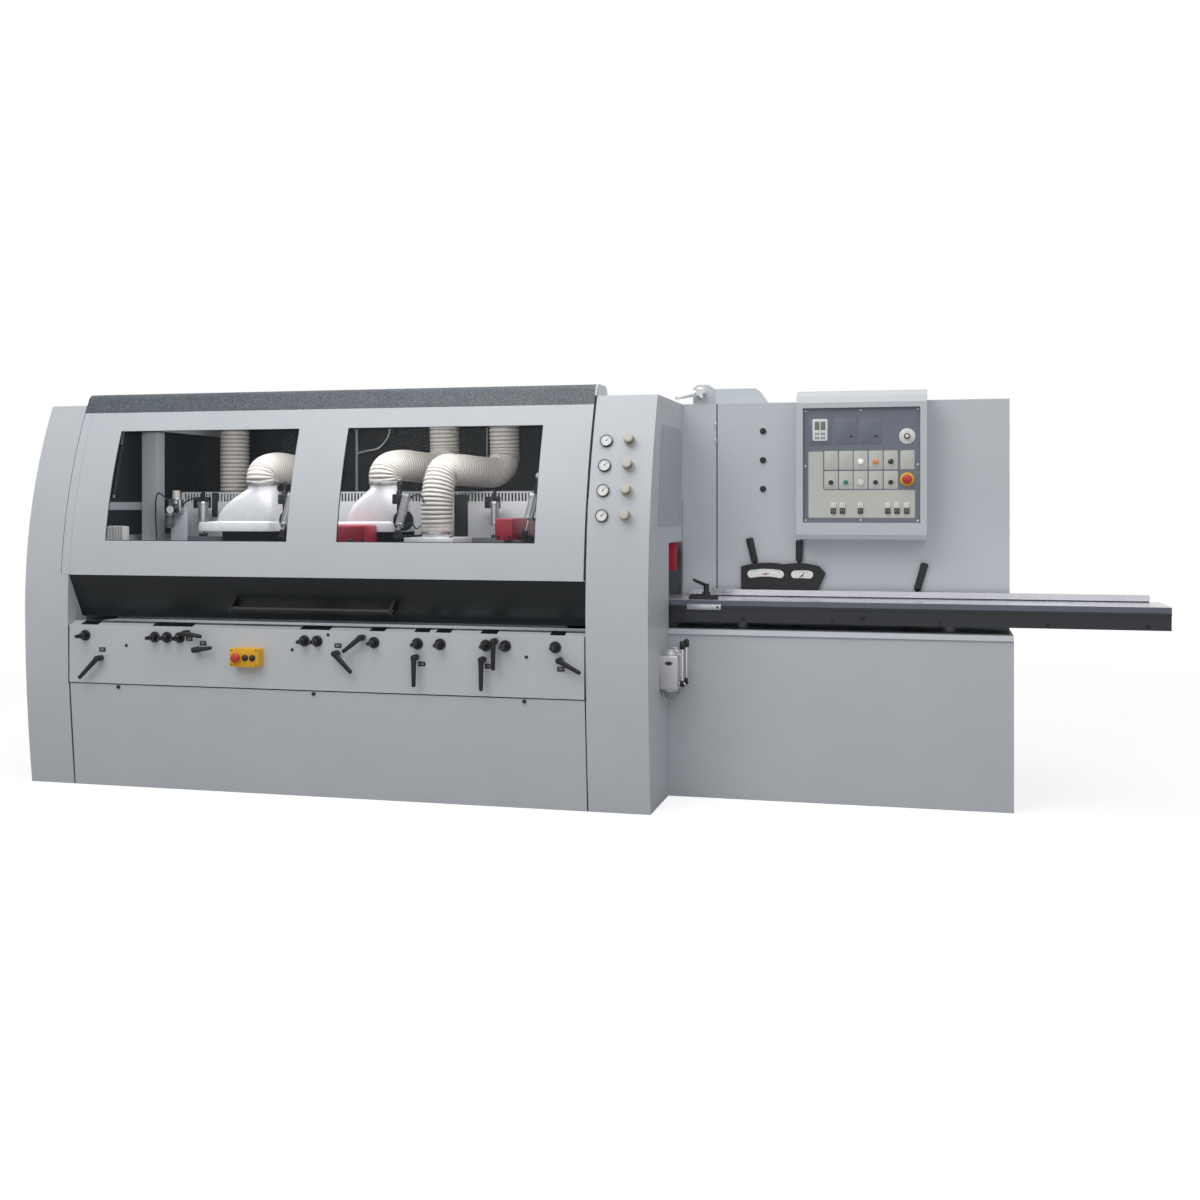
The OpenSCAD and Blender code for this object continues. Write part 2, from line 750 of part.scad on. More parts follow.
module panel_stop_button() { mushroom(stop_at[0], plate_y - 6, stop_at[1], 14, 41); }

module stop_button_box() {
    x0 = box_at[0] - box_size[0] / 2;
    z0 = box_at[1] - box_size[2] / 2;
    y0 = y_fascia - box_size[1];
    color("gold") difference() {
        rounded_plate(x0, x0 + box_size[0], y0, y_fascia, z0, z0 + box_size[2], 10);
        along_y(x0 + 34, y0 - 1, y_fascia - 10, box_at[1], 22 + 2 * running);
    }
    color(black) for (x = [74, 108]) along_y(x0 + x, y0 - 9, y0, box_at[1], 28);
}

module box_stop_button() {
    mushroom(box_at[0] - box_size[0] / 2 + 34, y_fascia - box_size[1], box_at[1], 20, 41);
}

module adjuster_shafts() {
    color(silver) for (x = adjuster_x) {
        along_y(x, y_fascia - 9, y_fascia, adjuster_z, 48);
        along_y(x, y_fascia - 40, y_fascia - 9, adjuster_z, 25);
        translate([x, y_fascia - 40, adjuster_z]) rotate([90, 0, 0])
            cylinder(d = 16, h = adjuster_reach - 40, $fn = 6);
    }
}

// Clamp lever: hub on its stud, and an arm that widens to its end
module clamp_lever(i) {
    l = lever_at[i];
    y0 = y_fascia - 46;
    color(black) difference() {
        union() {
            along_y(l[0], y0, y_fascia - seat, l[1], hub_d);
            translate([l[0], y0 + 15, l[1]]) rotate([90, 0, 0]) rotate([0, 0, l[2]])
                linear_extrude(13) polygon([
                    [0, -9], [l[3] - 24, -7], [l[3] - 8, -10], [l[3], -5],
                    [l[3], 5], [l[3] - 8, 10], [l[3] - 24, 7], [0, 9]
                ]);
        }
        along_y(l[0], y_fascia - lever_plane + 4, y_fascia + 1, l[1], lever_stud_d + 2 * running);
    }
}

module pressure_regulators() {
    for (z = [up(1214), up(1317), up(1420), up(1523)]) {
        tilt = asin((z - bulge_z) / upper_r);
        y = y_bulge + set_back(z, upper_r);
        color(silver) translate([x_column + 60, y, z]) rotate([90 - tilt, 0, 0]) difference() {
            cylinder(d = 53, h = 14);
            translate([0, 0, 11]) cylinder(d = 45, h = 4);
        }
        color("beige") translate([x_column + 160, y, z]) rotate([90 - tilt, 0, 0]) rotate_extrude()
            polygon([[0, 0], [25, 0], [25, 6], [19, 9], [19, 14], [21.5, 16], [21.5, 46], [19, 50], [0, 50]]);
    }
}

module lubricators() {
    for (y = pump_y) {
        color(silver) {
            block([x_side, y, pump_z], [x_side + pump_size[0], y + pump_size[1], pump_z + pump_size[2]]);
            translate([x_side + 38, y + 35, pump_z + pump_size[2]]) cylinder(d = 56, h = 14);
            translate([x_side + 38, y + 35, pump_z + pump_size[2] + 14]) cylinder(d = 40, h = 10);
            translate([x_side + 38, y + 35, pump_z - 38]) cylinder(d1 = 48, d2 = 64, h = 38);
            // Stud of the pump lever
            translate([x_side + pump_size[0], y + 35, pump_z + 24]) rotate([0, 90, 0])
                cylinder(d = 14, h = 26);
        }
    }
}

// Pump lever with a round grip, turning on its stud
module lubricator_lever(i) {
    y = pump_y[i] + 35;
    x = x_side + pump_size[0] + 6;
    color(black) translate([x, y, pump_z + 24]) difference() {
        union() {
            rotate([0, 90, 0]) cylinder(d = 28, h = 16);
            translate([4, -6, 0]) cube([8, 12, 150]);
            translate([8, 0, 146]) cylinder(d = 24, h = 34);
        }
        translate([-1, 0, 0]) rotate([0, 90, 0]) cylinder(d = 14 + 2 * running, h = 18);
    }
}
module lubricator_lever_1() { lubricator_lever(0); }
module lubricator_lever_2() { lubricator_lever(1); }

// Bed, spindles and feed

module bed_table() {
    color(silver) difference() {
        union() {
            block([bed_x0, table_front_y, base_z], [bed_x1, table_rear_y, table_z]);
            // Fence along the rear, broken at the right spindle
            block([bed_x0, fence_y, table_z], [right_x - gap_x, fence_y + fence_t, table_z + fence_h]);
            block([right_x + gap_x, fence_y, table_z], [bed_x1, fence_y + fence_t, table_z + fence_h]);
        }
        block([bottom_x - gap_x, table_front_y - 1, base_z - 1],
            [bottom_x + gap_x, fence_y - 2, table_z + 1]);
        block([bottom_x - gap_x, table_front_y - 1, base_z - 1],
            [bottom_x + gap_x, table_rear_y + 1, table_z - 6]);
        for (p = [[right_x, right_y], [left_x, left_y]])
            translate([p[0], p[1], base_z - 1]) cylinder(r = gap_x, h = bed_t + 2);
    }
}

// Cutter head with four knives on its shaft, axis along +Z, head from z = 0 to len
module cutter(len, shaft0, shaft1) {
    color(silver) difference() {
        union() {
            cylinder(d = cutter_d - 8, h = len);
            translate([0, 0, shaft0]) cylinder(d = shaft_d, h = shaft1 - shaft0);
            for (a = [0 : 90 : 270]) rotate([0, 0, a])
                translate([cutter_d / 2 - 22, -3, 2]) cube([21, 6, len - 4]);
        }
        // Gullets in front of the knives
        for (a = [0 : 90 : 270]) rotate([0, 0, a])
            translate([cutter_d / 2 - 14, 3, -1]) cube([20, 16, len + 2]);
    }
}

// Spindle lying along Y, head between the fence side and the front
module lying_spindle(x, z) {
    translate([x, fence_y - 4, z]) rotate([90, 0, 0])
        cutter(cutter_len, -(carrier_y[1] - 20 - fence_y), cutter_len + 12);
}

module bottom_spindle() { lying_spindle(bottom_x, bottom_z); }
module first_top_spindle() { lying_spindle(top_x[0], top_z); }
module second_top_spindle() { lying_spindle(top_x[1], top_z); }

// Upright spindle, its head above the table
module upright_spindle(x, y) {
    translate([x, y, table_z + 2]) cutter(work_t + 70, -(table_z - spindle_low_z - 40), work_t + 82);
}
module right_spindle() { upright_spindle(right_x, right_y); }
module left_spindle() { upright_spindle(left_x, left_y); }

// Carrier of a lying spindle: pedestal, sleeve and motor
module lying_carrier(x, z) {
    color(black) difference() {
        union() {
            block([x - 80, carrier_y[0], plinth_z], [x + 80, carrier_y[1], max(z, plinth_z) + 70]);
            along_y(x, carrier_y[0] - 30, carrier_y[0], z, sleeve_d);
            along_y(x, carrier_y[1], motor_y1, z, motor_d);
            for (y = [carrier_y[1] + 40 : 30 : motor_y1 - 60]) along_y(x, y, y + 8, z, motor_d + 16);
        }
        along_y(x, carrier_y[0] - 31, carrier_y[1] - 10, z, shaft_d + 2 * running);
    }
}

// Carrier of an upright spindle: sleeve below the bed with its flange, and motor
module upright_carrier(x, y, flange_z) {
    color(black) difference() {
        union() {
            translate([x, y, spindle_low_z]) cylinder(d = sleeve_d, h = flange_z - spindle_low_z);
            translate([x, y, flange_z - 14]) cylinder(d = 2 * gap_x + 30, h = 14);
        }
        translate([x, y, spindle_low_z + 20]) cylinder(d = shaft_d + 2 * running, h = base_z);
    }
}

module spindle_carriers() {
    lying_carrier(bottom_x, bottom_z);
    for (x = top_x) lying_carrier(x, top_z);
    upright_carrier(left_x, left_y, base_z - 12);
    // The rear upright spindle stands on the plinth
    color(black) difference() {
        union() {
            block([right_x - 80, table_rear_y + 9, plinth_z], [right_x + 80, carrier_y[1], base_z - 60]);
            translate([right_x, right_y, base_z - 60]) cylinder(d = sleeve_d, h = 50);
        }
        translate([right_x, right_y, spindle_low_z + 20]) cylinder(d = shaft_d + 2 * running, h = base_z);
    }
}

module feed_beam() {
    color(paint) {
        block([x_bay + 20, beam_y[0], beam_z[0]], [x_column + 60, beam_y[1], beam_z[1]]);
        for (x = pillar_x) block([x, table_rear_y + 10, plinth_z], [x + pillar_w, beam_y[1], beam_z[0]]);
    }
    for (x = roller_x) roller_arm(x);
}

// Arm that carries a feed roller's axle in front of the beam
module roller_arm(x) {
    y0 = roller_y0 + roller_w + 1;
    color(silver) {
        block([x - 30, y0, roller_z - 22], [x + 30, y0 + 24, beam_z[1]]);
        block([x - 30, y0 + 24, beam_z[0]], [x + 30, beam_y[0], beam_z[1]]);
        along_y(x, roller_y0 - 12, y0, roller_z, axle_d);
        along_y(x, roller_y0 - 12, roller_y0 - 1, roller_z, axle_d + 16);
    }
}

// Toothed feed roller
module feed_roller(x) {
    teeth = 24;
    color("gray") translate([x, roller_y0 + roller_w, roller_z]) rotate([90, 0, 0]) difference() {
        cylinder(d = roller_d, h = roller_w);
        translate([0, 0, -1]) cylinder(d = axle_d + 2 * running, h = roller_w + 2);
        for (i = [0 : teeth - 1]) rotate([0, 0, i * 360 / teeth])
            translate([roller_d / 2 - 5, -4, -1]) cube([8, 8, roller_w + 2]);
    }
}
module front_feed_roller() { feed_roller(roller_x[0]); }
module rear_feed_roller() { feed_roller(roller_x[1]); }

// Extraction, guards and air

// Round-cornered ring of points: centre, half sizes, squareness and height
function ring(c, h, p, z, n) = [for (i = [0 : n - 1]) let (
    a = 360 * (i + 0.5) / n,
    k = pow(pow(abs(cos(a)), p) + pow(abs(sin(a)), p), -1 / p)
) [c[0] + h[0] * k * cos(a), c[1] + h[1] * k * sin(a), z]];

// Closed tube between a list of outer rings and a list of inner rings, which share both ends
module tube(outer, inner) {
    n = len(outer[0]);
    points = [for (r = concat(outer, inner)) for (p = r) p];
    a = len(outer) - 1;
    b = len(inner) - 1;
    base = (a + 1) * n;
    polyhedron(points, concat(
        [for (j = [0 : a - 1], i = [0 : n - 1]) let (k = (i + 1) % n) each [
            [j * n + i, (j + 1) * n + i, (j + 1) * n + k], [j * n + i, (j + 1) * n + k, j * n + k]]],
        [for (j = [0 : b - 1], i = [0 : n - 1]) let (k = (i + 1) % n) each [
            [base + j * n + i, base + (j + 1) * n + k, base + (j + 1) * n + i],
            [base + j * n + i, base + j * n + k, base + (j + 1) * n + k]]],
        [for (i = [0 : n - 1]) let (k = (i + 1) % n) each [[i, k, base + k], [i, base + k, base + i]]],
        [for (i = [0 : n - 1]) let (k = (i + 1) % n, o = a * n, q = base + b * n) each [
            [o + i, q + k, o + k], [o + i, q + i, q + k]]]
    ));
}

// Rings of a moulded hood: shallow tray, then a scoop that draws in to the round neck
chute_z0 = hood_top_z - tray_h;
chute_y = [neck_y - 90, beam_y[0] - seat];
function ease(s) = s * s * (3 - 2 * s);
function scoop(neck, reach, wall) = let (
    steps = 8,
    n = 24,
    shell = [wall, wall],
    mid_y = (chute_y[0] + chute_y[1]) / 2,
    half_y = (chute_y[1] - chute_y[0]) / 2,
    c0 = [neck[0] + (tray_reach[1] - tray_reach[0]) / 2, mid_y],
    h0 = [(tray_reach[0] + tray_reach[1]) / 2, half_y],
    c1 = [neck[0] + (85 - reach) / 2, mid_y],
    h1 = [(reach + 85) / 2, half_y - 8],
    r = hose_d / 2 - rib
) concat(
    [ring(c0, h0 - shell, 12, chute_z0, n), ring(c0, h0 - shell, 12, hood_top_z - 5 - wall, n)],
    [for (i = [0 : steps]) let (s = i / steps, e = pow(s, 1.7)) ring(
        c1 + e * ([neck[0], neck[1]] - c1), h1 + e * ([r, r] - h1) - shell,
        12 - 10 * ease(s), hood_top_z - wall + (neck[2] - 20 - hood_top_z) * s, n)],
    [ring([neck[0], neck[1]], [r - wall, r - wall], 2, neck[2], n)]
);

module dust_hoods() {
    color("white") {
        for (i = [0, 1]) {
            neck = hood_neck[i];
            tube(scoop(neck, hood_reach[i], 0), scoop(neck, hood_reach[i], hose_wall));
            // Foot behind the tray, standing on the beam
            block([neck[0] - 60, chute_y[1] - 2, chute_z0 + 2],
                [neck[0] + 60, beam_y[1] - 6, chute_z0 + 12]);
            block([neck[0] - 60, beam_y[0] + 10, beam_z[1] + seat],
                [neck[0] + 60, beam_y[0] + 20, chute_z0 + 4]);
        }
        // Stub on the plinth for the lower spindles
        translate([collar_x[0], hose_y, plinth_z]) difference() {
            cylinder(d = hose_d - 2 * rib, h = stub_h);
            translate([0, 0, -1]) cylinder(d = hose_d - 2 * rib - 2 * hose_wall, h = stub_h + 2);
        }
    }
}

// Low hood with a short straight collar
module low_dust_hood() {
    color("white") difference() {
        union() {
            block([low_hood[0] - 120, chute_y[0] - 30, low_hood_z0],
                [low_hood[0] + 120, chute_y[1], low_hood[2] - low_neck_h]);
            translate(low_hood - [0, 0, low_neck_h]) cylinder(d = hose_d - 2 * rib, h = low_neck_h);
        }
        block([low_hood[0] - 116, chute_y[0] - 26, low_hood_z0 - 1],
            [low_hood[0] + 116, chute_y[1] - 4, low_hood[2] - low_neck_h - 4]);
        translate(low_hood - [0, 0, low_neck_h + 5])
            cylinder(d = hose_d - 2 * rib - 2 * hose_wall, h = low_neck_h + 15);
    }
}

// Smooth route through points, sampled finely
function spline(p, i, t) = let (
    a = p[max(i - 1, 0)], b = p[i], c = p[i + 1], d = p[min(i + 2, len(p) - 1)]
) 0.5 * (2 * b + (c - a) * t + (2 * a - 5 * b + 4 * c - d) * t * t + (3 * b - a - 3 * c + d) * t * t * t);
function fine(p) = concat([for (i = [0 : len(p) - 2], k = [0 : 11]) spline(p, i, k / 12)], [p[len(p) - 1]]);
function run(f) = [
    for (i = 0, s = 0; i < len(f); s = s + (i + 1 < len(f) ? norm(f[i + 1] - f[i]) : 0), i = i + 1) s
];
function at(f, s, x) = [for (k = [0 : 2]) lookup(x, [for (i = [0 : len(f) - 1]) [s[i], f[i][k]]])];

// Ring of eight points round the route, square to it
function hose_ring(f, s, x, r) = let (
    t = at(f, s, x + 2) - at(f, s, x - 2),
    w = t / norm(t),
    u0 = [1, 0, 0] - w[0] * w,
    u = u0 / norm(u0),
    v = cross(w, u),
    p = at(f, s, x)
) [for (i = [0 : 7]) p + r * (cos(i * 45) * u + sin(i * 45) * v)];

// Ribbed hose along a route
module hose(route) {
    f = fine(route);
    s = run(f);
    total = s[len(s) - 1];
    ribs = floor(total / rib_pitch);
    step = total / ribs / 2;
    outer = [for (k = [0 : 2 * ribs]) hose_ring(f, s, k * step, hose_d / 2 - (k % 2 == 0 ? rib : 0))];
    inner = [for (k = [0 : 2 : 2 * ribs]) hose_ring(f, s, k * step, hose_d / 2 - rib - hose_wall)];
    tube(outer, inner);
}

// Route from a neck, over and back, then up to the collar at x
function hose_route(neck, x, rise) = let (dx = x - neck[0]) [
    neck + [0, 0, seat], neck + [0, 0, 10], neck + [0, 0, 20], neck + [0, 0, rise * 0.6],
    neck + [dx * 0.08, 45, rise], neck + [dx * 0.3, 150, rise + 14],
    [neck[0] + dx * 0.6, hose_y - 180, neck[2] + rise + 8],
    [neck[0] + dx * 0.88, hose_y - 70, neck[2] + rise + 12], [x, hose_y, neck[2] + rise + 70],
    [x, hose_y, hose_top_z - 40], [x, hose_y, hose_top_z - 20], [x, hose_y, hose_top_z - seat]
];

module extraction_hoses() {
    color("whitesmoke") {
        hose([[collar_x[0], hose_y, plinth_z + stub_h + seat], [collar_x[0], hose_y, hose_top_z - seat]]);
        hose(hose_route(hood_neck[0], collar_x[1], 70 * rise_share));
        hose(hose_route(hood_neck[1], collar_x[2], 78 * rise_share));
        hose(hose_route(low_hood, collar_x[3], 288 * rise_share));
    }
}

guard_y = chute_y[0] - 120;
module spindle_guards() {
    color("crimson") {
        block([hood_neck[1][0] - 235, guard_y, beam_z[0] + 34],
            [hood_neck[1][0], chute_y[0], beam_z[0] + 124]);
        block([right_x - 75, guard_y, beam_z[1]], [right_x + 6, beam_y[1], beam_z[1] + 95]);
        // Swinging guard at the infeed
        along_x(x_column + 20, x_column + 50) polygon([
            [chute_y[0] + 10, mouth_high_z - 5], [chute_y[1], mouth_high_z - 5], [chute_y[1], beam_z[0]],
            [-60, table_z + 80], [-130, table_z + 80], [chute_y[0] + 10, table_z + 120]
        ]);
    }
}

// Air cylinder with end caps and rod, leaning by tilt, on an arm from the beam out to y
module air_cylinder(x, y, len, d, tilt) {
    block([x - 14, y - 18, beam_z[1]], [x + 14, beam_y[1], beam_z[1] + 14]);
    translate([x, y, beam_z[1] + 8]) rotate([0, tilt, 0]) {
        cylinder(d = 12, h = 60);
        translate([0, 0, 50]) cylinder(d = d + 6, h = 16);
        translate([0, 0, 66]) cylinder(d = d, h = len);
        translate([0, 0, 66 + len]) cylinder(d = d + 6, h = 16);
    }
}

module pneumatics() {
    on_beam = (beam_y[0] + beam_y[1]) / 2;
    before = chute_y[0] - 50;
    y0 = beam_y[0] + 6;
    unit_x = along(110);
    unit_z = up(1235);
    color(silver) {
        air_cylinder(along(224), on_beam, 90, 50, 0);
        air_cylinder(along(816), before, 150, 34, 14);
        air_cylinder(along(1390), before, 150, 34, 14);
        air_cylinder(along(1756), on_beam, 90, 38, 0);
        air_cylinder(along(1998), before, 150, 40, 14);
        // Filter and pressure regulator on an upright plate
        block([unit_x - 24, y0, beam_z[1]], [unit_x + 24, y0 + 8, unit_z + 55]);
        block([unit_x - 35, y0 - 50, unit_z], [unit_x + 35, y0 + 1, unit_z + 55]);
        translate([unit_x, y0 - 25, unit_z - 75]) cylinder(d = 42, h = 76);
        translate([unit_x, y0 - 25, unit_z + 54]) cylinder(d = 38, h = 43);
        along_y(unit_x - 10, y0 - 66, y0 - 49, unit_z + 27, 44);
    }
}

// Infeed table and its controls

module infeed_table() {
    rim = 14;
    color(silver) difference() {
        union() {
            block([table_x0, table_front_y, table_z - top_plate], [x_end, table_rear_y, table_z]);
            block([table_x0 + 10, table_front_y + 6, table_low_z],
                [x_end, table_rear_y - 6, table_z - top_plate]);
        }
        // Hollow of the casting round the guide posts' bosses
        difference() {
            block([table_x0 + 10 + rim, table_front_y + 6 + rim, table_low_z - 1],
                [x_end - rim, table_rear_y - 6 - rim, table_z - top_plate - 2]);
            for (x = post_x) translate([x, post_y, table_low_z - 2])
                cylinder(d = post_d + 30, h = body_depth + 10);
        }
        for (x = post_x) translate([x, post_y, table_low_z - 1])
            cylinder(d = post_d + 2 * seat, h = body_depth - 2);
        // Groove along the top
        block([table_x0 - 1, table_front_y + 95, table_z - 1.5],
            [x_end + 1, table_front_y + 98, table_z + 1]);
    }
}

module infeed_fence() {
    color(silver) difference() {
        block([x_side + 40, fence_y, table_z + seat],
            [x_end - 45, fence_y + fence_t, table_z + seat + fence_h]);
        block([x_side + 39, fence_y + 9, table_z + 8],
            [x_end - 44, fence_y + fence_t + 1, table_z + fence_h - 4]);
    }
}

module side_guide() {
    x1 = guide_x + guide_len;
    y0 = table_front_y - 12;
    hub_x = guide_x + 78;
    color(silver) difference() {
        block([guide_x, y0, table_z - 42], [x1, table_front_y, table_z - 19]);
        along_y(x1 - 14, y0 - 1, table_front_y + 1, table_z - 30.5, 11);
    }
    // Pressure shoe on the table
    color(black) difference() {
        union() {
            translate([0, 0, table_z]) linear_extrude(16) polygon([
                [guide_x + 6, table_front_y], [x1 - 30, table_front_y], [x1 - 18, table_front_y + 30],
                [guide_x + 96, table_front_y + 62], [guide_x + 22, table_front_y + 62]
            ]);
            translate([hub_x, table_front_y + 32, table_z + 16]) cylinder(d = 34, h = 18);
            translate([hub_x, table_front_y + 32, table_z + 34]) cylinder(d = 12, h = 20);
        }
        translate([guide_x + 30, table_front_y - 1, table_z + 8]) cube([30, 18, 20]);
    }
}

// Clamp lever of the side guide, turning on an upright stud
module guide_clamp_lever() {
    hub_x = guide_x + 78;
    color(black) translate([hub_x, table_front_y + 32, table_z + 34 + seat]) difference() {
        union() {
            cylinder(d = 24, h = 34);
            translate([0, -7, 20]) rotate([90, 0, 0]) mirror([0, 0, 1])
                linear_extrude(14) polygon([[0, -2], [-52, 22], [-60, 30], [-56, 36], [0, 14]]);
        }
        translate([0, 0, -1]) cylinder(d = 12 + 2 * running, h = 22);
    }
}

// Scale plate behind the fence, with two arched lobes and a window in each
plate_front_y = tall_cabinet_y - 17;
lobe_r = [430, 330];
module scale_plate() {
    z0 = table_z + 10;
    lobe_z = table_z + 150;
    color(black) {
        difference() {
            translate([0, plate_front_y + 4, 0]) rotate([90, 0, 0]) linear_extrude(4) difference() {
                intersection() {
                    polygon([[scale_x[0], z0], [scale_x[0], lobe_z + 20], [scale_x[1] - 60, lobe_z + 20],
                        [scale_x[1], lobe_z - 45], [scale_x[1] - 42, z0]]);
                    union() for (i = [0, 1]) translate([lever_x[i], lobe_z - lobe_r[i]])
                        circle(lobe_r[i], $fn = big_fn);
                }
                // Scale windows
                translate([lever_x[0] - 10, 0]) window(150, lobe_z - 45);
                translate([lever_x[1] + 18, 0]) window(86, lobe_z - 50);
            }
        }
        for (x = [scale_x[0] + 15, scale_x[1] - 60])
            along_y(x, plate_front_y + 4, tall_cabinet_y, z0 + 20, 14);
        // Studs that the three levers turn on
        for (x = [lever_x[0], lever_x[1], clamp_x])
            along_y(x, tall_cabinet_y - 12, tall_cabinet_y, lever_z, 16);
    }
}

module window(w, z) { rounded(-w / 2, w / 2, z - 18, z + 18, 17.5); }

// Hand lever behind the scale plate: hub, flat arm and a grip at its end
module hand_lever(x, tilt, len) {
    y0 = tall_cabinet_y - 11;
    color(black) translate([x, y0 + 8, lever_z]) rotate([90, 0, 0]) rotate([0, 0, -tilt]) difference() {
        union() {
            cylinder(d = 34, h = 8);
            linear_extrude(8) polygon([
                [-8, 0], [8, 0], [8, len - 118], [12, len - 112],
                [13, len], [-13, len], [-12, len - 112], [-8, len - 118]
            ]);
        }
        translate([0, 0, -1]) cylinder(d = 16 + 2 * running, h = 10);
    }
}
module table_lever() { hand_lever(lever_x[0], -13, lever_len); }
module fence_lever() { hand_lever(lever_x[1], 1, lever_len - 18); }
module table_clamp_lever() { hand_lever(clamp_x, 16, lever_len - 105); }

// The clamp levers along the fascia
module clamp_lever_1() { clamp_lever(0); }
module clamp_lever_2() { clamp_lever(1); }
module clamp_lever_3() { clamp_lever(2); }
module clamp_lever_4() { clamp_lever(3); }
module clamp_lever_5() { clamp_lever(4); }
module clamp_lever_6() { clamp_lever(5); }
module clamp_lever_7() { clamp_lever(6); }
module clamp_lever_8() { clamp_lever(7); }
module clamp_lever_9() { clamp_lever(8); }

base_frame();
left_end_casing();
right_end_column();
column_window();
control_fascia();
lower_front_cover();
rear_casing();
motor_cover();
infeed_cabinet();
electrical_cabinet();
control_housing();
control_plate();
panel_controls();
bed_table();
spindle_carriers();
feed_beam();
dust_hoods();
low_dust_hood();
extraction_hoses();
spindle_guards();
pneumatics();
pressure_regulators();
lubricators();
stop_button_box();
scale_plate();
adjuster_shafts();
hood_shell();
hood_lower_band();
hood_top_band();
hood_windows();
hood_handle();
strut_tubes();
strut_rods();
infeed_table();
side_guide();
infeed_fence();
table_lever();
fence_lever();
table_clamp_lever();
guide_clamp_lever();
bottom_spindle();
right_spindle();
left_spindle();
first_top_spindle();
second_top_spindle();
front_feed_roller();
rear_feed_roller();
lubricator_lever_1();
lubricator_lever_2();
box_stop_button();
panel_stop_button();
clamp_lever_1();
clamp_lever_2();
clamp_lever_3();
clamp_lever_4();
clamp_lever_5();
clamp_lever_6();
clamp_lever_7();
clamp_lever_8();
clamp_lever_9();
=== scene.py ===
"""Looks of a four sided moulder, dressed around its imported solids.

Sizes are in millimetres and are turned into metres when a piece is made.
"""
import logging
import math
from dataclasses import dataclass
from enum import Enum
from typing import Optional, Sequence

import bmesh
import bpy
from mathutils import Matrix, Vector, noise


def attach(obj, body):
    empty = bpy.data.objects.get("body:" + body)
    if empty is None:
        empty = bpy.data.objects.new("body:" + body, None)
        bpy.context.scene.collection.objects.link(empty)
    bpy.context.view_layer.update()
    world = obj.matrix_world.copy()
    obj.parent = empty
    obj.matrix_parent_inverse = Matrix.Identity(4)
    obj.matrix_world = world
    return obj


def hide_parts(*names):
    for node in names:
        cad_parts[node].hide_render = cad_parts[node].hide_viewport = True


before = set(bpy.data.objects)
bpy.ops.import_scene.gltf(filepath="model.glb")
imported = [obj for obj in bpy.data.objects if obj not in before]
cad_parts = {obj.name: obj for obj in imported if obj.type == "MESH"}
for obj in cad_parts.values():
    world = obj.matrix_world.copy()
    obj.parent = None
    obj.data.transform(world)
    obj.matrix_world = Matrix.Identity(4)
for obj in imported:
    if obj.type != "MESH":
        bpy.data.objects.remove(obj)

log = logging.getLogger("moulder")
Point = tuple[float, float, float]
Flat = tuple[float, float]
MM = 0.001
ORIGIN: Point = (0, 0, 0)
FRONT: Point = (0, -1, 0)
STILL = Matrix.Identity(4)
OPEN = (False, False)
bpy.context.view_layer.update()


def linear(red: int, green: int, blue: int) -> Point:
    """Turns a colour seen on a screen, 0 to 255, into linear light."""
    return tuple(((c / 255 + 0.055) / 1.055) ** 2.4 if c > 10 else c / 3295 for c in (red, green, blue))


FLAKES_PER_M = 520.0
FLAKE = linear(150, 158, 166)
FILM = linear(190, 182, 168)


class Grain(Enum):
    """Kinds of surface grain, each with its scale per metre and its stretch along X, Y and Z."""

    PEEL = (620.0, (1.0, 1.0, 1.0))
    CAST = (240.0, (1.0, 1.0, 1.0))
    MOULDED = (1500.0, (1.0, 1.0, 1.0))
    GROUND = (900.0, (0.02, 1.0, 1.0))
    TURNED = (900.0, (1.0, 0.03, 1.0))
    UPRIGHT = (700.0, (1.0, 1.0, 0.03))
    FOAM = (90.0, (1.0, 1.0, 1.0))
    SMOOTH = (30.0, (1.0, 1.0, 1.0))


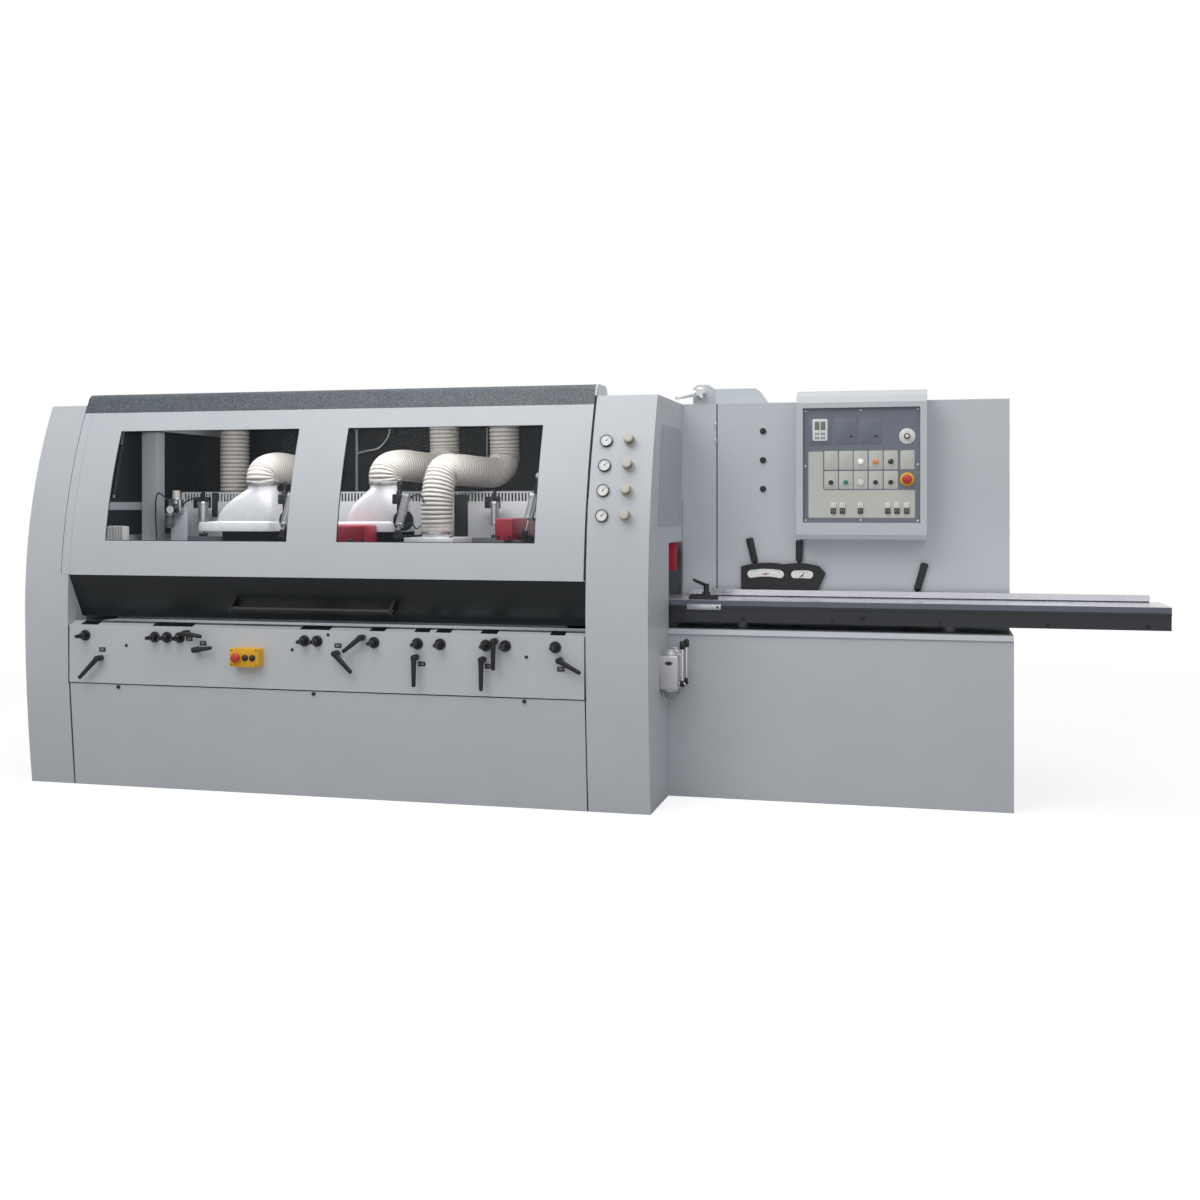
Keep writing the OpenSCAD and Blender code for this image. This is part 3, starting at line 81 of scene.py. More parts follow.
@dataclass(frozen=True)
class Finish:
    """One finish: colour, gloss, grain and how unevenly it has aged.

    Attributes:
        name: Name of the material.
        slot: Material slot of the record that it stands for; not used in this script.
        colour: Linear base colour.
        roughness: Mean roughness.
        metallic: 1 for bare metal.
        grain: Kind of surface grain.
        depth: Height of the grain in millimetres.
        drift: Share by which the colour drifts over the surface.
        coat: Weight of a clear coat.
        alpha: Opacity.
        soften: Radius in millimetres by which shading rounds sharp edges.
        flakes: Share of bright flakes in the coat.
        dust: Strength of the paler film on upward faces.
        lower: Second colour below a height, with that height in millimetres.
        furrow_painted_shade: Share of painted shade that darkens the furrows of a ribbed piece.
        glow: Strength of its own light.
    """

    name: str
    slot: str
    colour: Point
    roughness: float = 0.45
    metallic: float = 0.0
    grain: Grain = Grain.PEEL
    depth: float = 0.03
    drift: float = 0.05
    coat: float = 0.0
    alpha: float = 1.0
    soften: float = 0.0
    flakes: float = 0.0
    dust: float = 0.0
    lower: Optional[tuple[Point, float]] = None
    furrow_painted_shade: float = 0.0
    glow: float = 0.0

    def material(self) -> bpy.types.Material:
        """Returns the material of this finish, made on first use."""
        found = bpy.data.materials.get(self.name)
        return found if found else self._make()

    def _make(self) -> bpy.types.Material:
        """Builds the node tree of the finish.

        Returns:
            The new material.
        """
        mat = bpy.data.materials.new(self.name)
        mat.use_nodes = True
        tree = Tree(mat.node_tree)
        shader = tree.shader
        place = tree.add("ShaderNodeTexCoord").outputs["Object"]
        colour = self._colour(tree, place)
        tree.join(colour, shader.inputs["Base Color"])
        scale, stretch = self.grain.value
        fine = tree.noise(tree.stretched(place, stretch), scale, 3.0)
        broad = tree.noise(place, 7.0, 4.0)
        spread = 0.12 if self.roughness > 0.2 else 0.05
        mixed = tree.math("ADD", tree.math("MULTIPLY", fine, 0.5), tree.math("MULTIPLY", broad, 0.5))
        rough = tree.remap(
            mixed, 0.3, 0.7, max(0.02, self.roughness - spread), min(1.0, self.roughness + spread))
        tree.join(rough, shader.inputs["Roughness"])
        if self.lower:
            mask = tree.below(place, self.lower[1] * MM)
            tree.join(tree.remap(mask, 0.0, 1.0, self.metallic, 0.0), shader.inputs["Metallic"])
        else:
            shader.inputs["Metallic"].default_value = self.metallic
        shader.inputs["Coat Weight"].default_value = self.coat
        shader.inputs["Coat Roughness"].default_value = 0.12
        if self.alpha < 1.0:
            shader.inputs["Alpha"].default_value = self.alpha
            shader.inputs["Specular IOR Level"].default_value = 0.6
        if self.glow:
            shader.inputs["Emission Color"].default_value = (*self.colour, 1.0)
            shader.inputs["Emission Strength"].default_value = self.glow
        tree.bump(fine, self.depth, self.soften)
        return mat

    def _colour(self, tree: "Tree", place: bpy.types.NodeSocket) -> bpy.types.NodeSocket:
        """Lays drift, dust, flakes, the second colour and the painted shade of furrows over the base colour.

        Args:
            tree: Node tree of the material.
            place: Socket with the place on the surface.

        Returns:
            The socket with the final colour.
        """
        dark = tuple(c * (1 - self.drift) for c in self.colour)
        light = tuple(min(1.0, c * (1 + self.drift)) for c in self.colour)
        broad = tree.noise(place, 3.2, 5.0)
        colour = tree.blend(tree.remap(broad, 0.32, 0.68, 0.0, 1.0), dark, light)
        if self.lower:
            colour = tree.blend(tree.below(place, self.lower[1] * MM), colour, self.lower[0])
        if self.flakes:
            spots = tree.add("ShaderNodeTexVoronoi")
            spots.inputs["Scale"].default_value = FLAKES_PER_M
            tree.join(place, spots.inputs["Vector"])
            pick = tree.add("ShaderNodeSeparateColor")
            tree.join(spots.outputs["Color"], pick.inputs["Color"])
            hit = tree.math("GREATER_THAN", pick.outputs["Red"], 1.0 - self.flakes)
            colour = tree.blend(tree.math("MULTIPLY", hit, 0.55), colour, FLAKE)
        if self.dust:
            up = tree.add("ShaderNodeSeparateXYZ")
            tree.join(tree.add("ShaderNodeNewGeometry").outputs["Normal"], up.inputs["Vector"])
            film = tree.remap(up.outputs["Z"], 0.3, 1.0, 0.0, self.dust)
            patch = tree.noise(place, 11.0, 6.0)
            colour = tree.blend(tree.math("MULTIPLY", film, patch), colour, FILM)
        # Painted shade: darkens the furrows of ribbed pieces by their rib height.
        if self.furrow_painted_shade:
            rib = tree.add("ShaderNodeAttribute")
            rib.attribute_name = "rib"
            furrow = tuple(c * (1 - self.furrow_painted_shade) for c in self.colour)
            shade = tree.math("SUBTRACT", 1.0, rib.outputs["Fac"])
            colour = tree.blend(shade, colour, furrow)
        return colour


class Tree:
    """Short words for the nodes of one material."""

    def __init__(self, tree: bpy.types.NodeTree) -> None:
        """Keeps the tree and finds its shader, where it has one."""
        self.tree = tree
        self.shader = next((n for n in tree.nodes if n.type == "BSDF_PRINCIPLED"), None)

    def add(self, kind: str) -> bpy.types.Node:
        """Adds a node of that kind."""
        return self.tree.nodes.new(kind)

    def join(self, source: object, target: bpy.types.NodeSocket) -> None:
        """Links a socket to an input, or sets a constant on it."""
        if isinstance(source, bpy.types.NodeSocket):
            self.tree.links.new(source, target)
        elif isinstance(source, tuple):
            target.default_value = (*source, 1.0)
        else:
            target.default_value = source

    def noise(self, place: bpy.types.NodeSocket, scale: float, detail: float) -> bpy.types.NodeSocket:
        """Adds a noise and returns its value."""
        node = self.add("ShaderNodeTexNoise")
        node.inputs["Scale"].default_value = scale
        node.inputs["Detail"].default_value = detail
        self.join(place, node.inputs["Vector"])
        return node.outputs["Fac"]

    def stretched(self, place: bpy.types.NodeSocket, stretch: Point) -> bpy.types.NodeSocket:
        """Scales a place along X, Y and Z."""
        node = self.add("ShaderNodeMapping")
        node.inputs["Scale"].default_value = stretch
        self.join(place, node.inputs["Vector"])
        return node.outputs["Vector"]

    def math(self, operation: str, first: object, second: object) -> bpy.types.NodeSocket:
        """Adds a sum, product or test of two values."""
        node = self.add("ShaderNodeMath")
        node.operation = operation
        self.join(first, node.inputs[0])
        self.join(second, node.inputs[1])
        return node.outputs["Value"]

    def remap(
            self, value: object, low: float, high: float, to_low: float,
            to_high: float) -> bpy.types.NodeSocket:
        """Maps a value from one range to another."""
        node = self.add("ShaderNodeMapRange")
        self.join(value, node.inputs["Value"])
        for name, number in zip(("From Min", "From Max", "To Min", "To Max"), (low, high, to_low, to_high)):
            node.inputs[name].default_value = number
        return node.outputs["Result"]

    def blend(self, share: object, first: object, second: object) -> bpy.types.NodeSocket:
        """Mixes two colours by a share."""
        node = self.add("ShaderNodeMix")
        node.data_type = "RGBA"
        self.join(share, node.inputs["Factor"])
        self.join(first, node.inputs[6])
        self.join(second, node.inputs[7])
        return node.outputs[2]

    def below(self, place: bpy.types.NodeSocket, height: float) -> bpy.types.NodeSocket:
        """Gives 1 below a height in metres and 0 above it."""
        node = self.add("ShaderNodeSeparateXYZ")
        self.join(place, node.inputs["Vector"])
        return self.math("LESS_THAN", node.outputs["Z"], height)

    def bump(self, height: bpy.types.NodeSocket, depth: float, soften: float) -> None:
        """Raises the grain on the surface, on softened edges where asked.

        Args:
            height: Socket with the height, 0 to 1.
            depth: Height of the grain in millimetres.
            soften: Radius in millimetres of the softened edges, 0 for none.
        """
        node = self.add("ShaderNodeBump")
        node.inputs["Strength"].default_value = 1.0
        node.inputs["Distance"].default_value = depth * MM
        self.join(height, node.inputs["Height"])
        if soften:
            edge = self.add("ShaderNodeBevel")
            edge.samples = 4
            edge.inputs["Radius"].default_value = soften * MM
            self.join(edge.outputs["Normal"], node.inputs["Normal"])
        self.join(node.outputs["Normal"], self.shader.inputs["Normal"])


SLEEK = {"grain": Grain.SMOOTH, "depth": 0.01}
POLISHED = {"grain": Grain.SMOOTH, "depth": 0.003}
PITTED = {"grain": Grain.MOULDED, "depth": 0.02}
SHEET = {"depth": 0.035, "drift": 0.02, "coat": 0.1}


class Coat:
    """The finishes of this machine."""

    GREY = Finish("grey_coat", "grey_paint", linear(203, 208, 214), 0.42, soften=2.5, **SHEET)
    GREY_SIDE = Finish("grey_trim", "grey_paint", linear(198, 203, 210), 0.42, **SHEET)
    DARK = Finish("dark_coat", "dark_paint", linear(28, 33, 36), 0.4, depth=0.02, drift=0.08, soften=2.0)
    CROWN = Finish(
        "crown_coat", "dark_paint", linear(62, 71, 79), 0.38, depth=0.12, drift=0.08, soften=3.0, flakes=0.3)
    LINING = Finish("dark_lining", "lining", linear(24, 26, 28), 0.7, 0.0, Grain.FOAM, 1.2, 0.3)
    WHITE = Finish(
        "white_coat", "white_paint", linear(226, 229, 232), 0.4, drift=0.03, soften=1.0, dust=0.25)
    RED = Finish(
        "red_coat", "red_paint", linear(184, 32, 62), 0.35, drift=0.06, coat=0.3, soften=1.5, dust=0.15)
    STEEL = Finish(
        "ground_steel", "machined_steel", linear(214, 215, 221), 0.22, 0.75, Grain.GROUND, 0.006, 0.06,
        soften=0.8)
    SPIN = Finish(
        "turned_steel", "machined_steel", linear(190, 192, 196), 0.26, 1.0, Grain.TURNED, 0.01, 0.06,
        soften=0.8)
    CAST = Finish(
        "graphite_casting", "graphite_casting", linear(62, 68, 76), 0.5, 0.0, Grain.CAST, 0.12, 0.1)
    TABLE = Finish(
        "table_steel", "machined_steel", linear(224, 223, 231), 0.2, 0.7, Grain.GROUND, 0.005, 0.05,
        soften=1.0, lower=(linear(40, 44, 51), 826.0))
    MOTOR = Finish(
        "motor_black", "motor_black", linear(34, 36, 40), 0.45, 0.0, Grain.CAST, 0.08, 0.12, soften=1.0)
    ALLOY = Finish(
        "anodised_alloy", "aluminium", linear(196, 199, 203), 0.3, 0.9, Grain.UPRIGHT, 0.006, 0.05,
        soften=0.6)
    PUMP = Finish(
        "cast_alloy", "aluminium", linear(212, 211, 213), 0.42, 0.55, Grain.CAST, 0.06, 0.05, soften=1.5)
    CHROME = Finish("bright_chrome", "chrome", linear(222, 223, 226), 0.09, 1.0, Grain.SMOOTH, 0.002, 0.03)
    BLACK = Finish(
        "black_moulded", "black_plastic", linear(21, 22, 24), 0.48, **PITTED, drift=0.15, soften=0.8)
    PANEL = Finish(
        "panel_coat", "panel_grey", linear(116, 123, 136), 0.4, depth=0.015, drift=0.05, soften=0.6)
    PANEL_DEEP = Finish("panel_frame", "panel_grey", linear(102, 109, 122), 0.4, depth=0.015, drift=0.05)
    FIELD = Finish(
        "beige_field", "beige_plastic", linear(206, 207, 200), 0.45, 0.0, Grain.MOULDED, 0.01, 0.03)
    KNOB = Finish("beige_knob", "beige_plastic", linear(208, 203, 191), 0.4, **PITTED, drift=0.05)
    RIBBED = Finish("knob_ribs", "beige_plastic", linear(134, 127, 115), 0.5, 0.0, Grain.MOULDED, 0.03, 0.1)
    IVORY = Finish("ivory_button", "panel_parts", linear(236, 236, 234), 0.3, **SLEEK, drift=0.03, coat=0.3)
    INK = Finish("black_button", "panel_parts", linear(20, 21, 24), 0.28, **SLEEK, drift=0.2, coat=0.3)
    GREEN = Finish("green_button", "panel_parts", linear(20, 132, 96), 0.28, **SLEEK, drift=0.08, coat=0.4)
    AMBER = Finish(
        "amber_lamp", "panel_parts", linear(232, 132, 48), 0.2, **SLEEK, drift=0.1, coat=0.6, glow=0.12)
    LAMP = Finish(
        "white_lamp", "panel_parts", linear(244, 245, 248), 0.2, **SLEEK, drift=0.02, coat=0.6, glow=0.25)
    YELLOW = Finish(
        "yellow_moulded", "yellow_plastic", linear(238, 178, 24), 0.38, 0.0, Grain.MOULDED, 0.015, 0.04,
        coat=0.2)
    SCARLET = Finish("red_moulded", "red_plastic", linear(196, 48, 40), 0.34, **SLEEK, drift=0.06, coat=0.35)
    MOULDED = Finish(
        "white_moulded", "white_plastic", linear(232, 234, 238), 0.26, 0.0, Grain.SMOOTH, 0.05, 0.03,
        coat=0.4, dust=0.2)
    # Hose wall: its furrows darken with painted shade.
    HOSE = Finish(
        "hose_wall", "hose", linear(222, 217, 210), 0.34, 0.0, Grain.SMOOTH, 0.05, 0.06, furrow_painted_shade=0.72)
    GLASS = Finish(
        "clear_pane", "window", linear(110, 120, 128), 0.04, 0.0, Grain.SMOOTH, 0.001, 0.03, alpha=0.035)
    SMOKE = Finish("smoked_pane", "window", linear(176, 180, 190), 0.42, **SHEET)
    RUBBER = Finish("black_rubber", "black_plastic", linear(24, 24, 26), 0.7, 0.0, Grain.MOULDED, 0.03, 0.15)
    PAPER = Finish("dial_face", "white_paint", linear(246, 245, 245), 0.5, **POLISHED, drift=0.02)
    SCREEN = Finish(
        "timer_screen", "panel_parts", linear(120, 126, 122), 0.2, **POLISHED, drift=0.06, coat=0.5)
    SMOKED = Finish("smoked_bowl", "aluminium", linear(96, 98, 100), 0.15, **POLISHED, drift=0.1, coat=0.6)
    OIL = Finish("oil_glass", "aluminium", linear(142, 143, 142), 0.12, **POLISHED, drift=0.1, coat=0.8)


def rounded(x0: float, x1: float, z0: float, z1: float, r: float, steps: int = 6) -> list[Flat]:
    """Outline of a rectangle with round corners.

    Args:
        x0: Left side.
        x1: Right side.
        z0: Lower side.
        z1: Upper side.
        r: Corner radius.
        steps: Points on each corner.

    Returns:
        Points in order, counter-clockwise.
    """
    points = []
    for cx, cz, start in (
            (x1 - r, z0 + r, -90), (x1 - r, z1 - r, 0), (x0 + r, z1 - r, 90), (x0 + r, z0 + r, 180)):
        for i in range(steps + 1):
            a = math.radians(start + 90 * i / steps)
            points.append((cx + r * math.cos(a), cz + r * math.sin(a)))
    return points


def ellipse(rx: float, ry: float, count: int) -> list[Flat]:
    """Outline of an ellipse round zero."""
    angles = [2 * math.pi * i / count for i in range(count)]
    return [(rx * math.cos(a), ry * math.sin(a)) for a in angles]


def turned(degrees: float, axis: str) -> Matrix:
    """Turn by an angle about X, Y or Z."""
    return Matrix.Rotation(math.radians(degrees), 4, axis)


def facing(axis: Point) -> Matrix:
    """Turn that brings +Z onto an axis."""
    return Vector((0, 0, 1)).rotation_difference(Vector(axis)).to_matrix().to_4x4()


class Forge:
    """Gathers the shapes of one piece, each in its own finish, and makes an object of them."""

    def __init__(self, name: str, finish: Finish) -> None:
        """Starts a piece with its first finish."""
        self.name = name
        self.finishes = [finish]
        self.index = 0
        self.place = STILL
        self.mesh = bmesh.new()
        self.rib = self.mesh.verts.layers.float.new("rib")

    def use(self, finish: Finish) -> "Forge":
        """Takes a finish for the shapes that follow."""
        if finish not in self.finishes:
            self.finishes.append(finish)
        self.index = self.finishes.index(finish)
        return self

    def at(self, place: Matrix) -> "Forge":
        """Places the shapes that follow by a matrix in millimetres."""
        self.place = place
        return self

    def _keep(self, shape: bmesh.types.BMesh) -> "Forge":
        """Adds a finished shape to the piece."""
        bmesh.ops.recalc_face_normals(shape, faces=shape.faces[:])
        for face in shape.faces:
            face.material_index = self.index
        shape.transform(self.place)
        flat = bpy.data.meshes.new("shape")
        shape.to_mesh(flat)
        self.mesh.from_mesh(flat)
        bpy.data.meshes.remove(flat)
        shape.free()
        return self

    def box(self, low: Point, high: Point, bevel: float = 0.0, steps: int = 2) -> "Forge":
        """Adds a box between two corners.

        Args:
            low: Lowest corner.
            high: Highest corner.
            bevel: Radius of its edges.
            steps: Segments of each edge.

        Returns:
            This forge.
        """
        shape = bmesh.new()
        middle = (Vector(low) + Vector(high)) / 2
        size = Vector(high) - Vector(low)
        bmesh.ops.create_cube(
            shape, size=1.0, matrix=Matrix.Translation(middle) @ Matrix.Diagonal((*size, 1.0)))
        if bevel:
            bmesh.ops.bevel(
                shape, geom=shape.edges[:], offset=bevel, segments=steps, profile=0.5, affect="EDGES")
        return self._keep(shape)

    def loft(self, rings: Sequence[Sequence[Point]], caps: tuple[bool, bool] = (True, True),
             ribs: Optional[Sequence[float]] = None, closed: bool = True) -> "Forge":
        """Joins rings of points by faces.

        Args:
            rings: Rings with the same number of points.
            caps: Whether the first and the last ring are closed.
            ribs: Height of each ring, 0 in a furrow and 1 on a crest; it sets the painted shade in the
                furrows.
            closed: Whether each ring joins up.

        Returns:
            This forge.
        """
        shape = bmesh.new()
        layer = shape.verts.layers.float.new("rib")
        rows = []
        for k, ring in enumerate(rings):
            row = [shape.verts.new(p) for p in ring]
            for v in row:
                v[layer] = ribs[k] if ribs else 1.0
            rows.append(row)
        count = len(rows[0])
        for a, b in zip(rows, rows[1:]):
            for i in range(count if closed else count - 1):
                k = (i + 1) % count
                shape.faces.new((a[i], a[k], b[k], b[i]))
        if caps[0]:
            shape.faces.new(rows[0])
        if caps[1]:
            shape.faces.new(rows[-1])
        return self._keep(shape)

    def lathe(
            self, profile: Sequence[Flat], origin: Point, axis: Point = (0, 0, 1),
            sides: int = 40) -> "Forge":
        """Turns a profile of radius and height round an axis.

        Args:
            profile: Points of radius and height, from the foot up.
            origin: Where height is zero.
            axis: Direction of the height.
            sides: Number of sides.

        Returns:
            This forge.
        """
        turn = Matrix.Translation(origin) @ facing(axis)
        rings = []
        for r, h in profile:
            rings.append([turn @ Vector((x, y, h)) for x, y in ellipse(max(r, 0.05), max(r, 0.05), sides)])
        return self.loft(rings)

    def prism(
            self, outline: Sequence[Flat], start: float, end: float, axis: str = "y",
            bevel: float = 0.0) -> "Forge":
        """Draws an outline along an axis.

        Args:
            outline: Points of X and Z along y, of Y and Z along x, of X and Y along z.
            start: Where it starts on the axis.
            end: Where it ends on the axis.
            axis: x, y or z.
            bevel: Radius of the edges of the far end.

        Returns:
            This forge.
        """
        put = {
            "x": lambda p, a: (a, p[0], p[1]),
            "y": lambda p, a: (p[0], a, p[1]),
            "z": lambda p, a: (p[0], p[1], a),
        }[axis]
        shape = bmesh.new()
        first = shape.faces.new([shape.verts.new(put(p, start)) for p in outline])
        made = bmesh.ops.extrude_face_region(shape, geom=[first])["geom"]
        shift = Vector(put((0.0, 0.0), end - start))
        bmesh.ops.translate(shape, verts=[v for v in made if isinstance(v, bmesh.types.BMVert)], vec=shift)
        if bevel:
            far = next(f for f in made if isinstance(f, bmesh.types.BMFace))
            bmesh.ops.bevel(shape, geom=far.edges[:], offset=bevel, segments=2, profile=0.5, affect="EDGES")
        return self._keep(shape)

    def sweep(self, path: Sequence[Point], radius: object, sides: int = 16,
              caps: tuple[bool, bool] = (True, True), ribs: Optional[Sequence[float]] = None) -> "Forge":
        """Draws a round section along a path.

        Args:
            path: Points of the centreline.
            radius: One radius, or one for each point.
            sides: Number of sides.
            caps: Whether the ends are closed.
            ribs: Height of each ring for the painted shade in the furrows.

        Returns:
            This forge.
        """
        points = [Vector(p) for p in path]
        radii = radius if isinstance(radius, (list, tuple)) else [radius] * len(points)
        last = len(points) - 1
        ahead = [(points[min(i + 1, last)] - points[max(i - 1, 0)]).normalized() for i in range(last + 1)]
        across = ahead[0].orthogonal().normalized()
        rings = []
        for p, w, r in zip(points, ahead, radii):
            across = (across - w * across.dot(w)).normalized()
            other = w.cross(across)
            rings.append([p + across * x + other * y for x, y in ellipse(r, r, sides)])
        return self.loft(rings, caps, ribs)

    def done(self, body: str, sharp: float = 35.0, replaces: Sequence[str] = ()) -> bpy.types.Object:
        """Makes the object, dresses it and lets it ride.

        Args:
            body: CAD body that it moves with.
            sharp: Angle in degrees above which an edge stays sharp.
            replaces: CAD nodes that it stands for.

        Returns:
            The new object.
        """
        bmesh.ops.scale(self.mesh, vec=(MM, MM, MM), verts=self.mesh.verts[:])
        data = bpy.data.meshes.new(self.name)
        self.mesh.to_mesh(data)
        self.mesh.free()
        for finish in self.finishes:
            data.materials.append(finish.material())
        data.shade_smooth()
        data.set_sharp_from_angle(angle=math.radians(sharp))
        piece = bpy.data.objects.new(self.name, data)
        bpy.context.scene.collection.objects.link(piece)
        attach(piece, body)
        if replaces:
            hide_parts(*replaces)
        log.info("%s on %s: %d faces", self.name, body, len(data.polygons))
        return piece


def dress(finish: Finish, *nodes: str) -> None:
    """Gives CAD nodes a finish."""
    for node in nodes:
        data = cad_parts[node].data
        data.materials.clear()
        data.materials.append(finish.material())
        log.info("%s dressed as %s", node, finish.name)


@dataclass
class Plan:
    """Main planes of the machine, as in the part's source."""

    x_left: float = -2460.0
    x_bay: float = -2240.0
    x_column: float = 160.0
    x_side: float = 420.0
    x_cabinet: float = 1855.0
    y_bulge: float = -713.5
    y_fascia: float = -709.5
    y_rear: float = 786.5
    y_tall: float = 60.0
    y_low: float = -280.0
    bulge_z: float = 800.0
    upper_r: float = 2200.0
    lower_r: float = 6400.0
    casing_h: float = 1720.0
    roof_z: float = 1700.0
    window_x: Flat = (-2066.0, -948.0)
    window_len: float = 886.0
    window_z: Flat = (1100.0, 1596.0)
    hose_y: float = 390.0
    table_z: float = 850.0
    table_y: Flat = (-265.0, 40.0)

    def front(self, z: float) -> float:
        """Y of the curved front at a height."""
        r = self.upper_r if z > self.bulge_z else self.lower_r
        return self.y_bulge + r - math.sqrt(r * r - (z - self.bulge_z) ** 2)

    def lean(self, z: float) -> float:
        """Angle in degrees by which the curved front leans back at a height."""
        r = self.upper_r if z > self.bulge_z else self.lower_r
        return math.degrees(math.asin((z - self.bulge_z) / r))


PLAN = Plan()


@dataclass
class Studio:
    """Floor, light and camera of the picture."""

    eye: Point = (1543.0, -6095.5, 1255.0)
    yaw: float = 13.8
    focal_px: float = 1365.0
    picture_px: float = 1200.0
    horizon_px: float = 506.0
    sensor: float = 36.0
    sky: float = 0.34
    sky_shine: float = 0.5
    floor_dark: Point = (0.40, 0.40, 0.405)
    floor_light: Point = (0.43, 0.43, 0.43)
    floor_reach: float = 40.0
    floor_lift: float = 0.74
    fade: Flat = (3.6, 6.2)

    def build(self) -> None:
        """Makes the floor, the world, the lamps and the camera."""
        self._world()
        self._floor()
        self._lamp("key_lamp", (-2.0, -5.2, 5.4), (-0.6, -0.4, 1.1), 4.2, 138.0)
        self._lamp("fill_lamp", (3.6, -6.0, 4.2), (0.8, 0.0, 0.9), 4.0, 60.0)
        self._lamp("top_lamp", (0.0, -0.6, 6.0), (0.0, 0.0, 1.0), 5.0, 120.0)
        self._lamp("bay_lamp", (-1.04, -0.3, 1.655), (-1.04, 0.0, 1.2), 2.1, 9.0, 0.1)
        self._camera()

    def _world(self) -> None:
        """A soft sky that cameras, metal and glass see as white."""
        world = bpy.data.worlds.new("studio")
        bpy.context.scene.world = world
        world.use_nodes = True
        tree = Tree(world.node_tree)
        back = world.node_tree.nodes["Background"].inputs
        tree.join((1.0, 1.0, 1.0), back["Color"])
        ray = tree.add("ShaderNodeLightPath").outputs
        seen = tree.math("MAXIMUM", ray["Is Camera Ray"], ray["Is Transmission Ray"])
        shine = tree.math("MULTIPLY", ray["Is Glossy Ray"], self.sky_shine)
        tree.join(tree.math("MAXIMUM", seen, tree.math("ADD", shine, self.sky)), back["Strength"])

    def _floor(self) -> None:
        """A plain pale floor."""
        data = bpy.data.meshes.new("studio_floor")
        reach = self.floor_reach
        corners = [(-reach, -reach, 0), (reach, -reach, 0), (reach, reach, 0), (-reach, reach, 0)]
        data.from_pydata(corners, [], [(0, 1, 2, 3)])
        floor = bpy.data.objects.new("studio_floor", data)
        bpy.context.scene.collection.objects.link(floor)
        data.materials.append(self._pale())

    def _pale(self) -> bpy.types.Material:
        """Pale floor that takes the shadow, whitened for the camera, and thins out far from the machine.

        Returns:
            The floor's material.
        """
        mat = bpy.data.materials.new("studio_pale")
        mat.use_nodes = True
        tree = Tree(mat.node_tree)
        shader = tree.shader
        place = tree.add("ShaderNodeTexCoord").outputs["Object"]
        grain = tree.noise(place, 1.5, 3.0)
        tree.join(tree.blend(grain, self.floor_dark, self.floor_light), shader.inputs["Base Color"])
        shader.inputs["Roughness"].default_value = 0.9
        shader.inputs["Specular IOR Level"].default_value = 0.1
        shader.inputs["Emission Color"].default_value = (1.0, 1.0, 1.0, 1.0)
        seen = tree.add("ShaderNodeLightPath").outputs["Is Camera Ray"]
        tree.join(tree.math("MULTIPLY", seen, self.floor_lift), shader.inputs["Emission Strength"])
        away = tree.add("ShaderNodeVectorMath")
        away.operation = "LENGTH"
        tree.join(tree.stretched(place, (1.0, 1.0, 0.0)), away.inputs[0])
        tree.join(
            tree.remap(away.outputs["Value"], self.fade[0], self.fade[1], 1.0, 0.0), shader.inputs["Alpha"])
        return mat

    def _lamp(
            self, name: str, place: Point, target: Point, size: float, watts: float,
            depth: float = 0.0) -> None:
        """Hangs a lamp that looks at a target.

        Args:
            name: Name of the lamp.
            place: Where it hangs, in metres.
            target: What it looks at, in metres.
            size: Length of its side in metres.
            watts: Its power.
            depth: Its other side in metres, 0 for a square.
        """
        data = bpy.data.lights.new(name, "AREA")
        data.shape = "RECTANGLE"
        data.size = size
        data.size_y = depth if depth else size
        data.energy = watts
        lamp = bpy.data.objects.new(name, data)
        lamp.location = place
        lamp.rotation_euler = (Vector(target) - Vector(place)).to_track_quat("-Z", "Y").to_euler()
        bpy.context.scene.collection.objects.link(lamp)

    def _camera(self) -> None:
        """Sets the camera where the photograph was taken."""
        data = bpy.data.cameras.new("photo_camera")
        data.sensor_width = self.sensor
        data.lens = self.focal_px / self.picture_px * self.sensor
        data.shift_y = (self.horizon_px - self.picture_px / 2) / self.picture_px
        data.clip_end = 200.0
        camera = bpy.data.objects.new("photo_camera", data)
        camera.location = Vector(self.eye) * MM
        camera.rotation_euler = (math.radians(90), 0.0, math.radians(self.yaw))
        bpy.context.scene.collection.objects.link(camera)
        bpy.context.scene.camera = camera


class Assembly:
    """A sub-assembly that dresses its solids and builds its pieces."""

    def dress(self) -> None:
        """Leaves the solids as they are, where pieces stand for all of them."""

    def build(self) -> None:
        """Makes the pieces."""
        raise NotImplementedError


